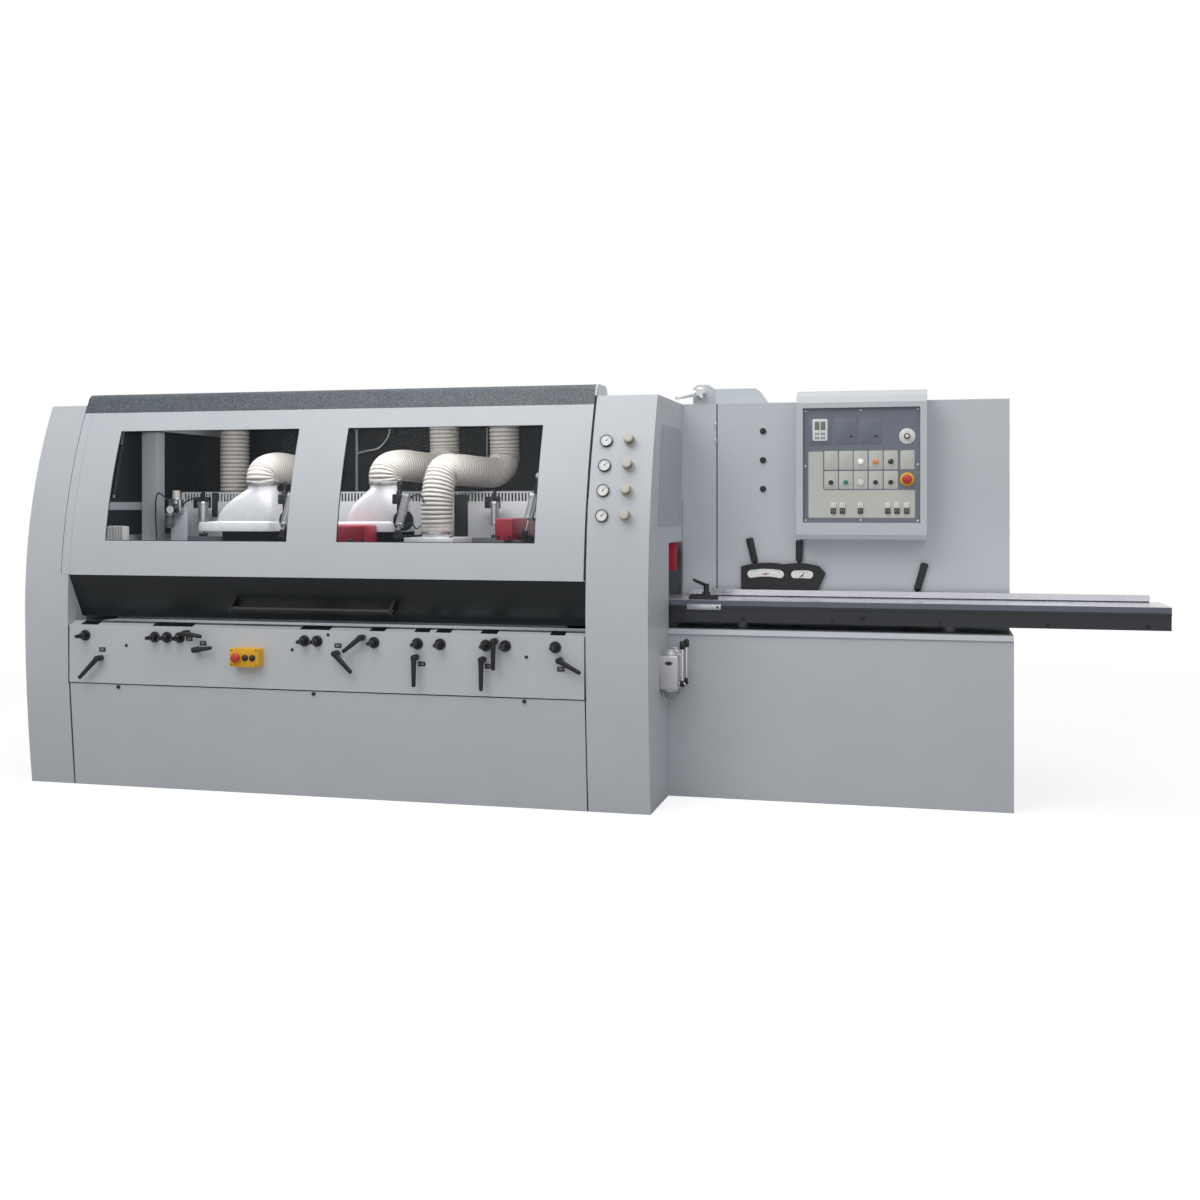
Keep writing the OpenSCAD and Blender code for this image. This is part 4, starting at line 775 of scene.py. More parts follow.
@dataclass
class Casings(Assembly):
    """End casings, column, cabinets, fascia, cover and roof, with their fittings."""

    lock_x: tuple[float, ...] = (-1988.0, -1045.0, -102.0)
    lock_z: float = 450.0
    fascia_z: Flat = (465.0, 720.0)
    cover_z: Flat = (2.0, 460.0)
    low_top: float = 724.0
    tall_x: float = 1420.0
    mouth_z: float = 1287.0
    collar_h: float = 90.0
    hinge_z: Flat = (1622.0, 1548.0)
    seam_x: float = 576.5
    screw_at: tuple[Flat, ...] = ((-1946.0, 636.0), (-1143.0, 637.0), (-976.0, 705.0), (-92.0, 633.0))
    readouts: tuple[Flat, ...] = ((59.0, 144.0), (418.0, 614.0), (1128.0, 1267.0), (1450.0, 1518.0),
                                  (1652.0, 1719.0), (1748.0, 1814.0), (1946.0, 2018.0), (2246.0, 2309.0))
    plug_z: tuple[float, ...] = (1332.0, 1462.0, 1593.0)
    plug_x: float = 789.0
    door_x: tuple[float, ...] = (-2180.0, -1380.0, -580.0)
    door_w: float = 680.0
    door_hinge_z: Flat = (330.0, 1370.0)
    door_latch_z: Flat = (620.0, 1090.0)
    gap: float = 5.5
    latch_x: float = 505.0
    latch_z: float = 1771.0
    pane_y: Flat = (-522.0, 19.0)
    pane_z: Flat = (1168.0, 1602.0)
    pane_corner: float = 26.0
    pane_lean: float = 86.0

    def dress(self) -> None:
        """Gives the sheet metal its coats."""
        dress(Coat.GREY, "left_end_casing", "right_end_column", "lower_front_cover")
        dress(Coat.GREY, "infeed_cabinet", "electrical_cabinet", "control_housing")
        dress(Coat.SMOKE, "column_window")
        dress(Coat.CAST, "base_frame")
        dress(Coat.LINING, "rear_casing")

    def build(self) -> None:
        """Makes the fittings on the sheet metal."""
        self._front()
        self._gaps()
        self._ledge()
        self._cabinet()
        self._rear()
        self._roof()

    def _front(self) -> None:
        """Quarter-turn locks in the cover and screws in the fascia."""
        made = Forge("cover_locks", Coat.BLACK)
        for x in self.lock_x:
            at = (x, PLAN.y_bulge + 6.5, self.lock_z)
            made.lathe([(8.6, -1), (8.6, 0), (8, 3), (5, 4.5), (0, 4.5)], at, FRONT, 32)
        made.done("frame")
        screws = Forge("fascia_screws", Coat.BLACK)
        for x, z in self.screw_at:
            screws.lathe([(7, 0), (7, 2), (5, 4.2), (0, 4.6)], (x, PLAN.y_fascia, z), FRONT, 28)
        screws.done("frame")

    def _gaps(self) -> None:
        """Fascia plate with its ledge, and dark strips of painted shade beside it and beside the cover."""
        plate = Forge("fascia_plate", Coat.GREY)
        x0, x1, y = PLAN.x_bay + 1, PLAN.x_column - 1, PLAN.y_fascia
        plate.box((x0, y, self.fascia_z[0]), (x1, y + 3, self.fascia_z[1]))
        plate.box((x0, y + 2, self.fascia_z[1] - 3), (x1, PLAN.table_y[0] - 62, self.fascia_z[1]))
        plate.done("frame", 30.0, ("control_fascia",))
        # Painted shade: dark strips on the surface where the joints between fascia, cover and casings lie in
        # shadow.
        gaps = Forge("front_gap_painted_shade", Coat.RUBBER)
        top, low = PLAN.y_bulge + 10, PLAN.y_bulge + 50
        for a in (PLAN.x_bay + 0.4, PLAN.x_column - 0.4 - self.gap):
            gaps.box((a, y - 0.4, self.fascia_z[0] - 4), (a + self.gap, y + 1, self.fascia_z[1]))
            foot, head = self.cover_z
            edge = [(top - 0.4, head), (low - 0.4, foot), (low + 1, foot), (top + 1, head)]
            gaps.prism(edge, a, a + self.gap, "x")
        gaps.done("frame")

    def _ledge(self) -> None:
        """Folded upper edge of the fascia and the read-outs behind the adjusters."""
        read = Forge("ledge_readouts", Coat.GREY_SIDE)
        y, z, run, rise = PLAN.y_fascia, self.fascia_z[1], 48, 16
        outline = [(y + 0.5, z - 1), (y + 0.5, z + 1.5), (y + 4, z + 3), (y + 4 + run, z + 3 + rise)]
        outline.append((y + 4 + run, z - 1))
        read.prism(outline, PLAN.x_bay + 4, PLAN.x_column - 4, "x")
        slope = Matrix.Translation((0, y + 4, z + 3)) @ Matrix.Rotation(math.atan2(rise, run), 4, "X")
        for low, high in self.readouts:
            read.at(slope).use(Coat.INK).box((PLAN.x_bay + low, 4, -1), (PLAN.x_bay + high, 47, 1.1), 0.3)
        read.use(Coat.ALLOY).box((PLAN.x_bay + 90, 28, -1), (PLAN.x_column - 6, 49, 0.6), 0.2)
        read.done("frame")

    def _cabinet(self) -> None:
        """Plugs, seams and the roof lever of the tall cabinet."""
        plugs = Forge("cabinet_plugs", Coat.BLACK)
        for z in self.plug_z:
            at = (self.plug_x, PLAN.y_tall - 4.5, z)
            plugs.lathe([(14, 0), (14, 2.5), (12, 4.6), (0, 5.2)], at, FRONT, 36)
        plugs.done("frame")
        self._skins()
        latch = Forge("roof_latch", Coat.GREY_SIDE)
        y = PLAN.y_tall
        outline = [(468, 1719), (570, 1719), (570, 1787), (538, 1808), (490, 1808), (468, 1794)]
        latch.prism(outline, y + 12, y + 4, "y", 1.0)
        x, z = self.latch_x, self.latch_z
        hub = [(23, 0), (23, 8), (19, 12), (19, 26), (22, 28), (22, 36), (17, 41), (0, 42)]
        latch.use(Coat.CHROME).lathe(hub, (x, y + 4, z), FRONT, 40)
        arm = [
            (0, 13, 6, 0), (20, 14, 6, 0), (70, 11, 5.5, 0), (104, 9, 5, 0), (113, 7, 4, 0), (116, 3, 2, 0)]
        handle(latch, upright_plane(x, y - 26, z, 192.0), arm)
        latch.done("frame", 40.0)

    def _skins(self) -> None:
        """Plain front sheets of the cabinets, the seam beside the tall one and the corner at the column
        drawn as dark strips of painted shade, and the pane in the column.
        """
        skins = Forge("cabinet_skins", Coat.GREY)
        y, low_y, x = PLAN.y_tall, PLAN.y_low, self.seam_x
        ledge, top = self.low_top, PLAN.casing_h - 1
        skins.box((PLAN.x_side + 0.3, low_y - 0.6, 1), (PLAN.x_cabinet - 0.3, low_y + 1, ledge - 2))
        skins.box((self.tall_x, y - 0.5, ledge), (PLAN.x_cabinet - 0.3, y + 1, top))
        fold = [(low_y + 1, ledge - 25), (low_y - 8, ledge - 24), (low_y - 9.5, ledge - 21)]
        fold += [(low_y - 1, ledge - 0.4), (low_y + 1, ledge - 0.4)]
        skins.use(Coat.GREY_SIDE).prism(fold, PLAN.x_side + 1, PLAN.x_cabinet - 0.3, "x")
        # Painted shade: dark strips in the door seam and in the corner beside the column.
        skins.use(Coat.RUBBER).box((x, y - 0.4, PLAN.table_z), (x + 5, y + 1, top))
        skins.box((PLAN.x_side - 1, y - 8, PLAN.table_z), (PLAN.x_side + 0.4, y - 3, self.mouth_z))
        for z in self.hinge_z:
            skins.use(Coat.ALLOY).box((x - 8, y - 6, z - 13), (x + 1, y + 1, z + 13), 2.0, 3)
        skins.done("frame", 30.0)
        pane = Forge("column_pane", Coat.SMOKE)
        outline = []
        (front, back), (low, high) = self.pane_y, self.pane_z
        for y, z in rounded(front, back, low, high, self.pane_corner):
            edge = front + self.pane_lean * (z - low) / (high - low)
            outline.append((back - (back - y) * (back - edge) / (back - front), z))
        pane.prism(outline, PLAN.x_side + 0.2, PLAN.x_side + 2.4, "x")
        pane.done("frame", 30.0)

    def _rear(self) -> None:
        """Hinges and latches of the service doors at the back."""
        made = Forge("rear_door_fittings", Coat.BLACK)
        y = PLAN.y_rear
        for x in self.door_x:
            for z in self.door_hinge_z:
                made.box((x + 8, y - 6, z), (x + 30, y - 0.2, z + 90), 2.0)
            for z in self.door_latch_z:
                at = (x + self.door_w - 48, y, z)
                made.lathe([(15, -8), (15, -2), (12, -0.4), (0, -0.3)], at, (0, 1, 0), 32)
        made.done("frame")

    def _roof(self) -> None:
        """Clamped rims on the roof's extraction collars."""
        made = Forge("collar_rims", Coat.ALLOY)
        for x in COLLAR_X:
            rim = [(75.2, -14), (76.6, -12), (76.6, -4), (75.2, -0.4), (72.4, -0.4), (72.4, -14)]
            made.lathe(rim, (x, PLAN.hose_y, PLAN.roof_z + self.collar_h), sides=64)
        made.done("frame")


@dataclass
class Hood(Assembly):
    """The curved hood, its windows, grab bar and gas struts."""

    bar_x: Flat = (-1448.5, -681.5)
    bar_z: float = 806.0
    bar_r: float = 12.5
    bar_y: float = PLAN.y_bulge + 18.3
    skin_z: Flat = (950.0, 1683.0)
    crown_z: float = 1721.0
    crown_r: float = 45.0
    crown_lift: float = 52.0
    crown_back: Flat = (250.0, 400.0)
    seal_x: Flat = (150.0, 158.4)
    lip_x: Flat = (-2275.0, -2234.0)
    sunk: float = 1.6
    behind: float = 5.0

    def dress(self) -> None:
        """Gives the hood's solids their finishes."""
        dress(Coat.GREY, "hood_shell")
        dress(Coat.DARK, "hood_lower_band")
        dress(Coat.BLACK, "hood_handle")
        dress(Coat.CROWN, "hood_top_band")
        dress(Coat.GLASS, "hood_windows")
        dress(Coat.BLACK, "strut_tubes")
        dress(Coat.ALLOY, "strut_rods")

    def build(self) -> None:
        """Makes the window seals, the bar's end caps and the edges."""
        self._seals()
        self._bar()
        self._edge()

    def _seals(self) -> None:
        """Thin dark seals round the window panes, along the curve."""
        made = Forge("window_seals", Coat.RUBBER)
        z0, z1 = PLAN.window_z
        for x in PLAN.window_x:
            left, right = x + self.sunk, x + PLAN.window_len - self.sunk
            heights = [z0 + (z1 - z0) * i / 24 for i in range(25)]
            for edge in (left, right):
                made.sweep([(edge, PLAN.front(z) + self.behind, z) for z in heights], 1.5, 8)
            for z, inside in ((z0, z0 + self.sunk), (z1, z1 - self.sunk)):
                y = PLAN.front(z) + self.behind
                made.sweep([(left, y, inside), (right, y, inside)], 1.5, 8)
        made.done("hood")

    def _bar(self) -> None:
        """Round end caps of the grab bar, inside its length."""
        made = Forge("grab_bar_caps", Coat.BLACK)
        for x, way in ((self.bar_x[0], 1), (self.bar_x[1], -1)):
            r = self.bar_r
            profile = [(0, 0.1), (r - 1.2, 0.6), (r + 0.9, 4), (r + 0.9, 24), (r + 0.6, 26)]
            made.lathe(profile, (x, self.bar_y, self.bar_z), (way, 0, 0), 40)
        made.done("hood")

    def _edge(self) -> None:
        """Dark seal down the hood's right edge, a dark strip of painted shadow along its left edge, the lip
        at its left and the caps on the ends of its crown.
        """
        low, high = self.skin_z
        left, right = self.lip_x
        front, top = PLAN.front(high), PLAN.casing_h + self.crown_lift
        rise, hinge = (PLAN.y_bulge + back for back in self.crown_back)
        heights = [low + (high - low) * k / 32 for k in range(33)]
        line = [(PLAN.front(z), z) for z in heights] + [(front + 14.6, self.crown_z)]
        made = Forge("hood_edge_seal_and_shadow_line", Coat.RUBBER)
        self._ribbon(made, line, *self.seal_x, 0.5)
        # Painted shadow: dark strip along the lip's left edge, where the hood meets the casing.
        self._ribbon(made, line, left - 2.5, left, 0.6)
        self._ribbon(made.use(Coat.GREY), line[:-1], left, right, 0.8)
        self._ribbon(made.use(Coat.CROWN), line[-2:], left, right, 0.8)
        made.done("hood", 30.0)
        cap = Forge("crown_ends", Coat.GREY)
        ends = (
            (Coat.GREY, self.seal_x[0] - 1, self.seal_x[1] - 1, 0.6), (Coat.CROWN, left, right - 2.2, 0.0))
        for coat, x0, x1, proud in ends:
            r = self.crown_r + proud
            outline = [(front + 14.0, self.crown_z)]
            for centre, a0, a1 in ((rise, 155, 90), (hinge - 47, 90, 0)):
                for i in range(9):
                    a = math.radians(a0 + (a1 - a0) * i / 8)
                    outline.append((centre + r * math.cos(a), top - self.crown_r + r * math.sin(a)))
            outline.append((hinge - 1.6, self.crown_z))
            cap.use(coat).prism(outline, x0, x1, "x")
        cap.done("hood", 30.0)

    @staticmethod
    def _ribbon(made: Forge, line: list[Flat], x0: float, x1: float, proud: float) -> None:
        """Thin strip along a line in the hood's side view.

        Args:
            made: Piece that takes it.
            line: Points (y, z) on the hood's skin.
            x0: Its left edge.
            x1: Its right edge.
            proud: How far it stands off the skin.
        """
        rings = []
        for y, z in line:
            rings.append([(x0, y - proud, z), (x1, y - proud, z), (x1, y - 0.1, z), (x0, y - 0.1, z)])
        made.loft(rings)


ADJUSTER_X = [PLAN.x_bay + d for d in (89, 437, 497, 559, 1155, 1214, 1475, 1671, 1772, 1973, 2058, 2272)]
COLLAR_X = [PLAN.x_bay + d for d in (221, 670, 1383, 1699)]


def smooth_route(points: Sequence[Point], spacing: float) -> list[Vector]:
    """Lays a smooth route through points and samples it evenly.

    Args:
        points: Points that the route passes.
        spacing: Distance between samples in millimetres.

    Returns:
        The samples, the last point among them.
    """
    p = [Vector(q) for q in points]
    fine = []
    for i in range(len(p) - 1):
        a, b, c, d = p[max(i - 1, 0)], p[i], p[i + 1], p[min(i + 2, len(p) - 1)]
        for k in range(12):
            t = k / 12
            curve = 2 * b + (c - a) * t + (2 * a - 5 * b + 4 * c - d) * t * t
            curve += (3 * b - a - 3 * c + d) * t ** 3
            fine.append(curve * 0.5)
    fine.append(p[-1])
    runs = [0.0]
    for a, b in zip(fine, fine[1:]):
        runs.append(runs[-1] + (b - a).length)
    count = max(2, round(runs[-1] / spacing))
    samples = []
    k = 0
    for i in range(count + 1):
        s = runs[-1] * i / count
        while k < len(runs) - 2 and runs[k + 1] < s:
            k += 1
        samples.append(fine[k].lerp(fine[k + 1], (s - runs[k]) / max(runs[k + 1] - runs[k], 1e-6)))
    return samples


@dataclass
class Extraction(Assembly):
    """Moulded dust hoods and the ribbed hoses that lead to the roof."""

    hose_r: float = 75.0
    rib: float = 5.0
    pitch: float = 21.0
    fine: float = 0.3
    span: int = 40
    samples: int = 8
    tightest: float = 5.0
    wall: float = 3.0
    hose_top: float = 1659.7
    plinth: float = 600.0
    stub: float = 100.0
    necks: tuple[Point, ...] = ((-1598.0, -110.0, 1358.0), (-966.0, -110.0, 1358.0))
    reaches: Flat = (205.0, 165.0)
    low_hood: Point = (-707.0, -110.0, 1125.0)
    low_z: float = 1010.0
    low_top: float = 1110.0
    tray_x: Flat = (-300.0, 95.0)
    tray_z: Flat = (1135.0, 1183.0)
    tray_y: Flat = (-200.0, 41.7)
    rise: tuple[float, ...] = (70.0, 78.0, 288.0)
    cuff: float = 62.0
    seat: float = 0.3

    def build(self) -> None:
        """Makes the hoods, the hoses and their clamps."""
        self._hoods()
        self._hoses()
        self._clamps()

    def _route(self, neck: Point, x: float, rise: float) -> list[Point]:
        """Points of a hose from a neck, over and back, then up to its collar.

        Args:
            neck: Upper end of the hood's neck.
            x: Where the collar stands.
            rise: Height that the hose climbs before it turns back.

        Returns:
            The points in order.
        """
        nx, ny, nz = neck
        dx, y = x - nx, PLAN.hose_y
        return [
            (nx, ny, nz + self.seat), (nx, ny, nz + 10), (nx, ny, nz + 20), (nx, ny, nz + rise * 0.6),
            (nx + dx * 0.08, ny + 45, nz + rise), (nx + dx * 0.3, ny + 150, nz + rise + 14),
            (nx + dx * 0.6, y - 180, nz + rise + 8), (nx + dx * 0.88, y - 70, nz + rise + 12),
            (x, y, nz + rise + 70), (x, y, self.hose_top - 40), (x, y, self.hose_top - 20),
            (x, y, self.hose_top),
        ]

    def _hoses(self) -> None:
        """Ribbed hoses, each a wall with a wire helix that shows as round ribs, with painted shade in the
        furrows and on the inner bore.
        """
        made = Forge("ribbed_hoses", Coat.HOSE)
        first = COLLAR_X[0]
        straight = [
            (first, PLAN.hose_y, self.plinth + self.stub + self.seat), (first, PLAN.hose_y, self.hose_top)]
        routes = [straight]
        for neck, x, rise in zip((*self.necks, self.low_hood), COLLAR_X[1:], self.rise):
            routes.append(self._route(neck, x, rise))
        bore = self.hose_r - self.rib - self.wall
        for route in routes:
            path, phases = self._ribs(smooth_route(route, self.fine))
            plain = self.cuff / self.pitch if route is routes[-1] else 0
            # Rib heights set the painted shade: full in the furrows, shallower on the plain cuff.
            crests, radii = [], []
            for phase in phases:
                wave = abs(math.sin(math.pi * phase))
                crests.append(wave if phase >= plain else 0.55 + 0.3 * wave)
                radii.append(self.hose_r - self.rib * (1 - (wave if phase >= plain else 0.3 + 0.3 * wave)))
            made.sweep(path, radii, 48, OPEN, crests)
            # Inner bore: half the painted furrow shade.
            inner = path[:-1:4] + path[-1:]
            made.sweep(inner, bore, 32, OPEN, [0.5] * len(inner))
        made.done("frame", 80.0, ("extraction_hoses",))

    def _ribs(self, line: list[Point]) -> tuple[list[Point], list[float]]:
        """Points at even steps of the ribs, which stand closer in a bend.

        Args:
            line: Close points of the centreline.

        Returns:
            The points kept, and how many ribs lie before each.
        """
        span = self.span
        path, phases, phase = line[:1], [0.0], 0.0
        for i in range(1, len(line)):
            k = min(max(i, span), len(line) - 1 - span)
            before = Vector(line[k]) - Vector(line[k - span])
            bend = before.angle(Vector(line[k + span]) - Vector(line[k])) / (span * self.fine)
            phase += self.fine * (1.0 + min(self.tightest, self.hose_r * bend)) / self.pitch
            if phase - phases[-1] >= 1 / self.samples or i == len(line) - 1:
                path.append(line[i])
                phases.append(phase)
        return path, phases

    def _ring(self, c: Vector, h: Vector, p: float, z: float, wall: float, sides: int = 72) -> list[Point]:
        """One ring of a moulded hood.

        Args:
            c: Centre in X and Y.
            h: Half sizes in X and Y.
            p: Squareness, 2 for round.
            z: Height.
            wall: Distance inside the outer skin.
            sides: Points on the ring.

        Returns:
            The points in order.
        """
        out = []
        for i in range(sides):
            a = 2 * math.pi * (i + 0.5) / sides
            k = (abs(math.cos(a)) ** p + abs(math.sin(a)) ** p) ** (-1 / p)
            out.append((c.x + (h.x - wall) * k * math.cos(a), c.y + (h.y - wall) * k * math.sin(a), z))
        return out

    def _scoop(self, neck: Point, reach: float, wall: float) -> list[list[Point]]:
        """Rings of a moulded hood: shallow tray, then a scoop that draws in to the round neck.

        Args:
            neck: Upper end of the neck.
            reach: Length of the scoop's foot to the left of the neck.
            wall: Distance of the rings inside the outer skin.

        Returns:
            The rings from the mouth up.
        """
        x, low, top = neck[0], self.tray_z[0], self.tray_z[1]
        y, half_y = sum(self.tray_y) / 2, (self.tray_y[1] - self.tray_y[0]) / 2
        c0 = Vector((x + sum(self.tray_x) / 2, y))
        h0 = Vector(((self.tray_x[1] - self.tray_x[0]) / 2, half_y))
        c1, h1 = Vector((x + (85 - reach) / 2, y)), Vector(((reach + 85) / 2, half_y - 8))
        r = self.hose_r - self.rib
        end, small = Vector(neck[:2]), Vector((r, r))
        trim = Vector((2.0, 2.0))
        rings = [self._ring(c0, h0, 12.0, low, wall), self._ring(c0, h0, 12.0, top - 9 - wall, wall)]
        rings.append(self._ring(c0, h0 - trim, 12.0, top - 6 - wall, wall))
        steps = 24
        for i in range(steps + 1):
            s = i / steps
            e = s ** 1.7
            square = 12 - 10 * s * s * (3 - 2 * s)
            z = top - wall + (neck[2] - 20 - top) * s
            rings.append(self._ring(c1.lerp(end, e), h1.lerp(small, e), square, z, wall))
        rings.append(self._ring(end, small, 2.0, neck[2], wall))
        return rings

    def _hoods(self) -> None:
        """Moulded hoods over the top spindles, the low hood and the stub on the plinth."""
        made = Forge("moulded_hoods", Coat.MOULDED)
        back = self.tray_y[1]
        for neck, reach in zip(self.necks, self.reaches):
            outer, inner = self._scoop(neck, reach, 0.0), self._scoop(neck, reach, self.wall)
            made.use(Coat.MOULDED).loft(outer + inner[::-1] + [outer[0]], OPEN)
            x, z = neck[0], self.tray_z[0]
            made.use(Coat.GREY_SIDE).box((x - 60, back - 2, z + 2), (x + 60, back + 40, z + 12), 1.0)
            made.box((x - 60, back + 10.3, 1104.3), (x + 60, back + 20.3, z + 4), 1.0)
            left, right = x + self.tray_x[0] + 6, x + self.tray_x[1] - 6
            made.use(Coat.RUBBER).box((left, back - 8, 1060), (right, back - 4, z + 6), 1.0)
        r = self.hose_r - self.rib
        stub = [(r, 0), (r, self.stub), (r - 3, self.stub), (r - 3, 2)]
        made.use(Coat.MOULDED).lathe(stub, (COLLAR_X[0], PLAN.hose_y, self.plinth), sides=64)
        made.done("frame", 40.0, ("dust_hoods",))
        made = Forge("low_hood_plate", Coat.WHITE)
        x, y, z = self.low_hood
        front = self.tray_y[0] - 30
        made.box((x - 120, front, self.low_z + 4), (x + 120, back, self.low_top), 6.0, 4)
        made.box((x - 114, front + 6, self.low_z), (x + 114, back - 6, self.low_z + 6))
        foot = self.low_top - z
        made.lathe(
            [(r + 8, foot - 2), (r, foot + 5), (r, 0), (r - 3, 0), (r - 3, foot)], (x, y, z), sides=64)
        for dx in (-102.0, 102.0):
            made.use(Coat.BLACK).lathe(
                [(7, 0), (7, 6), (4, 6), (4, 3), (0, 3)], (x + dx, front + 24, self.low_top), sides=24)
        made.done("frame", 40.0, ("low_dust_hood",))

    def _clamps(self) -> None:
        """Steel clamp bands where the hoses meet necks and collars."""
        made = Forge("hose_clamps", Coat.ALLOY)
        r = self.hose_r
        for x, y, z in (*self.necks, self.low_hood):
            made.lathe([(r - 6, -1), (r + 1.6, -1), (r + 1.6, 11), (r - 6, 11)], (x, y, z), sides=64)
            made.box((x - 11, y - r - 12, z + 1), (x + 11, y - r + 3, z + 9), 1.5)
        for x in COLLAR_X:
            band = [(r - 3, -11), (r + 1.6, -11), (r + 1.6, 0), (r - 3, 0)]
            made.lathe(band, (x, PLAN.hose_y, self.hose_top), sides=64)
        made.done("frame")


@dataclass
class Interior(Assembly):
    """What shows behind the glass: cover, guards, air gear, beam, spindles and motors."""

    cover_x: Flat = (-2210.0, 130.0)
    cover_y: float = 190.0
    cover_z: Flat = (1042.0, 1328.0)
    cover_back: float = 307.0
    slot_pitch: float = 17.0
    slot_w: float = 9.0
    slot_z: Flat = (1278.0, 1318.0)
    beam_z: Flat = (1046.0, 1104.0)
    beam_y: Flat = (42.0, 88.0)
    unit: Flat = (-2130.0, 1235.0)
    arm_half: float = 14.0
    guard_y: float = -320.0
    rail_y: Flat = (-420.0, 112.0)
    rail_z: Flat = (1235.0, 1275.0)
    conduit_top: float = 1668.0
    fins: int = 7
    fin_step: float = 15.0
    conduit_at: tuple[tuple[float, float, float], ...] = ((-1486.0, 1334.0, 7.0), (-747.0, 1495.0, 5.0))
    block_x: float = -652.0
    upright_at: tuple[tuple[float, float, float], ...] = ((-2016.0, 90.0, 50.0), (-484.0, 90.0, 38.0))
    leaning_at: tuple[tuple[float, float, float, float], ...] = (
        (-1424.0, 30.0, 152.0, 34.0), (-850.0, 30.0, 152.0, 34.0), (-242.0, 62.0, 120.0, 40.0))
    lean: float = 14.0
    short_rod: float = 40.0
    before_y: float = -250.0

    def dress(self) -> None:
        """Gives the machine's inner solids their finishes."""
        dress(Coat.CAST, "feed_beam")
        dress(Coat.STEEL, "bed_table")
        dress(Coat.SPIN, "bottom_spindle", "first_top_spindle", "second_top_spindle")
        dress(Coat.SPIN, "right_spindle", "left_spindle")
        dress(Coat.CAST, "front_feed_roller", "rear_feed_roller")
        dress(Coat.MOTOR, "spindle_carriers")

    def build(self) -> None:
        """Makes the vented cover, the lining, the conduits, the air gear and the guards."""
        self._cover()
        self._lining()
        self._conduits()
        self._air()
        self._guards()

    def _cover(self) -> None:
        """White cover with a row of narrow slots below its upper edge."""
        made = Forge("vented_cover", Coat.WHITE)
        x0, x1 = self.cover_x
        y, back = self.cover_y, self.cover_back
        z0, z1 = self.cover_z
        s0, s1 = self.slot_z
        made.box((x0, y, z0), (x1, y + 4, s0), 0.8)
        made.box((x0, y, s1), (x1, y + 4, z1), 0.8)
        made.box((x0, y, z1 - 4), (x1, back, z1), 0.8)
        x = x0 + 18.0
        made.box((x0, y, s0), (x, y + 4, s1))
        while x + self.slot_pitch < x1 - 18:
            made.box((x + self.slot_w, y, s0), (x + self.slot_pitch, y + 4, s1))
            x += self.slot_pitch
        made.box((x + self.slot_w, y, s0), (x1, y + 4, s1))
        made.use(Coat.CHROME)
        for k in range(7):
            sx = x0 + 60 + k * (x1 - x0 - 120) / 6
            made.lathe([(6, 0), (6, 2), (3, 4), (0, 4)], (sx, y, z0 + 120), FRONT, 20)
        made.done("frame", 35.0, ("motor_cover",))

    def _lining(self) -> None:
        """Crumpled dark lining along the back and the left end, ahead of the casing."""
        made = Forge("noise_lining", Coat.LINING)
        top, cells, y = 1685.0, 90, PLAN.y_rear - 16.0
        sheets = (
            (PLAN.x_bay + 10, PLAN.x_column - 10, 1330.0, 16, 26.0),
            (PLAN.x_left + 6, PLAN.x_bay - 8, 1045.0, 20, 20.0))
        for x0, x1, low, rows, lift in sheets:
            rings = []
            for k in range(rows + 1):
                line, z = [], low + (top - low) * k / rows
                for i in range(cells + 1):
                    x = x0 + (x1 - x0) * i / cells
                    bump = lift * (0.5 + 0.5 * noise.noise(Vector((x * 0.011, y * 0.012, z * 0.012))))
                    bump += lift * 0.5 * noise.noise(Vector((x * 0.035, y * 0.03, z * 0.03)))
                    line.append((x, y - max(bump, 0.0), z))
                rings.append(line)
            made.loft(rings, OPEN, closed=False)
        made.box((PLAN.x_left + 5, -420, 1110), (PLAN.x_left + 7, PLAN.y_rear - 20, 1690))
        made.done("frame", 80.0)

    def _conduits(self) -> None:
        """Two thin conduits with a loose cable on the back, and a rail and pale fins at the end wall."""
        made = Forge("bay_conduits", Coat.WHITE)
        y = PLAN.y_rear - 48
        for x, low, r in self.conduit_at:
            made.use(Coat.GREY_SIDE).lathe([(r, low), (r, self.conduit_top)], (x, y, 0), sides=20)
        x = self.conduit_at[0][0]
        way = [(x + 6, y, 1540), (x + 60, y - 6, 1552), (x + 130, y - 10, 1566), (x + 180, y - 6, 1620)]
        way.append((x + 192, y, self.conduit_top))
        made.use(Coat.PAPER).sweep(smooth_route(way, 8.0), 4.0, 12)
        rail = (PLAN.x_left + 8, self.rail_y[0], self.rail_z[0])
        made.use(Coat.GREY_SIDE).box(rail, (PLAN.x_left + 14, self.rail_y[1], self.rail_z[1]), 1.0)
        made.use(Coat.PAPER)
        x0, step = PLAN.x_left + 14, self.fin_step
        for k in range(self.fins):
            made.box((x0 + step * k, -126, 1075), (x0 + step * (k + 1) - 3, -70, 1154 + 3 * (k % 2)), 4.0, 3)
        made.box((x0 + 2, -118, 1070), (x0 + self.fins * step - 4, -78, 1146), 1.0)
        made.done("frame", 40.0)

    def _air(self) -> None:
        """Air cylinders on the beam and on arms before it, valves, the filter unit and their tubes."""
        made = Forge("air_gear", Coat.ALLOY)
        self._uprights(made)
        self._leaning(made)
        self._unit(made)
        made.done("frame", 35.0, ("pneumatics",))
        self._tubes()

    @staticmethod
    def _barrel(r: float, foot: float, head: float) -> list[Flat]:
        """Profile of an air cylinder with a collar at either end.

        Args:
            r: Radius of its tube.
            foot: Height of its lower end.
            head: Height of its upper end.

        Returns:
            Points of radius and height.
        """
        low = [(0, foot), (r + 2, foot), (r + 3, foot + 2), (r + 3, foot + 14), (r, foot + 16)]
        return low + [(r, head - 16), (r + 3, head - 14), (r + 3, head - 2), (r + 2, head), (0, head)]

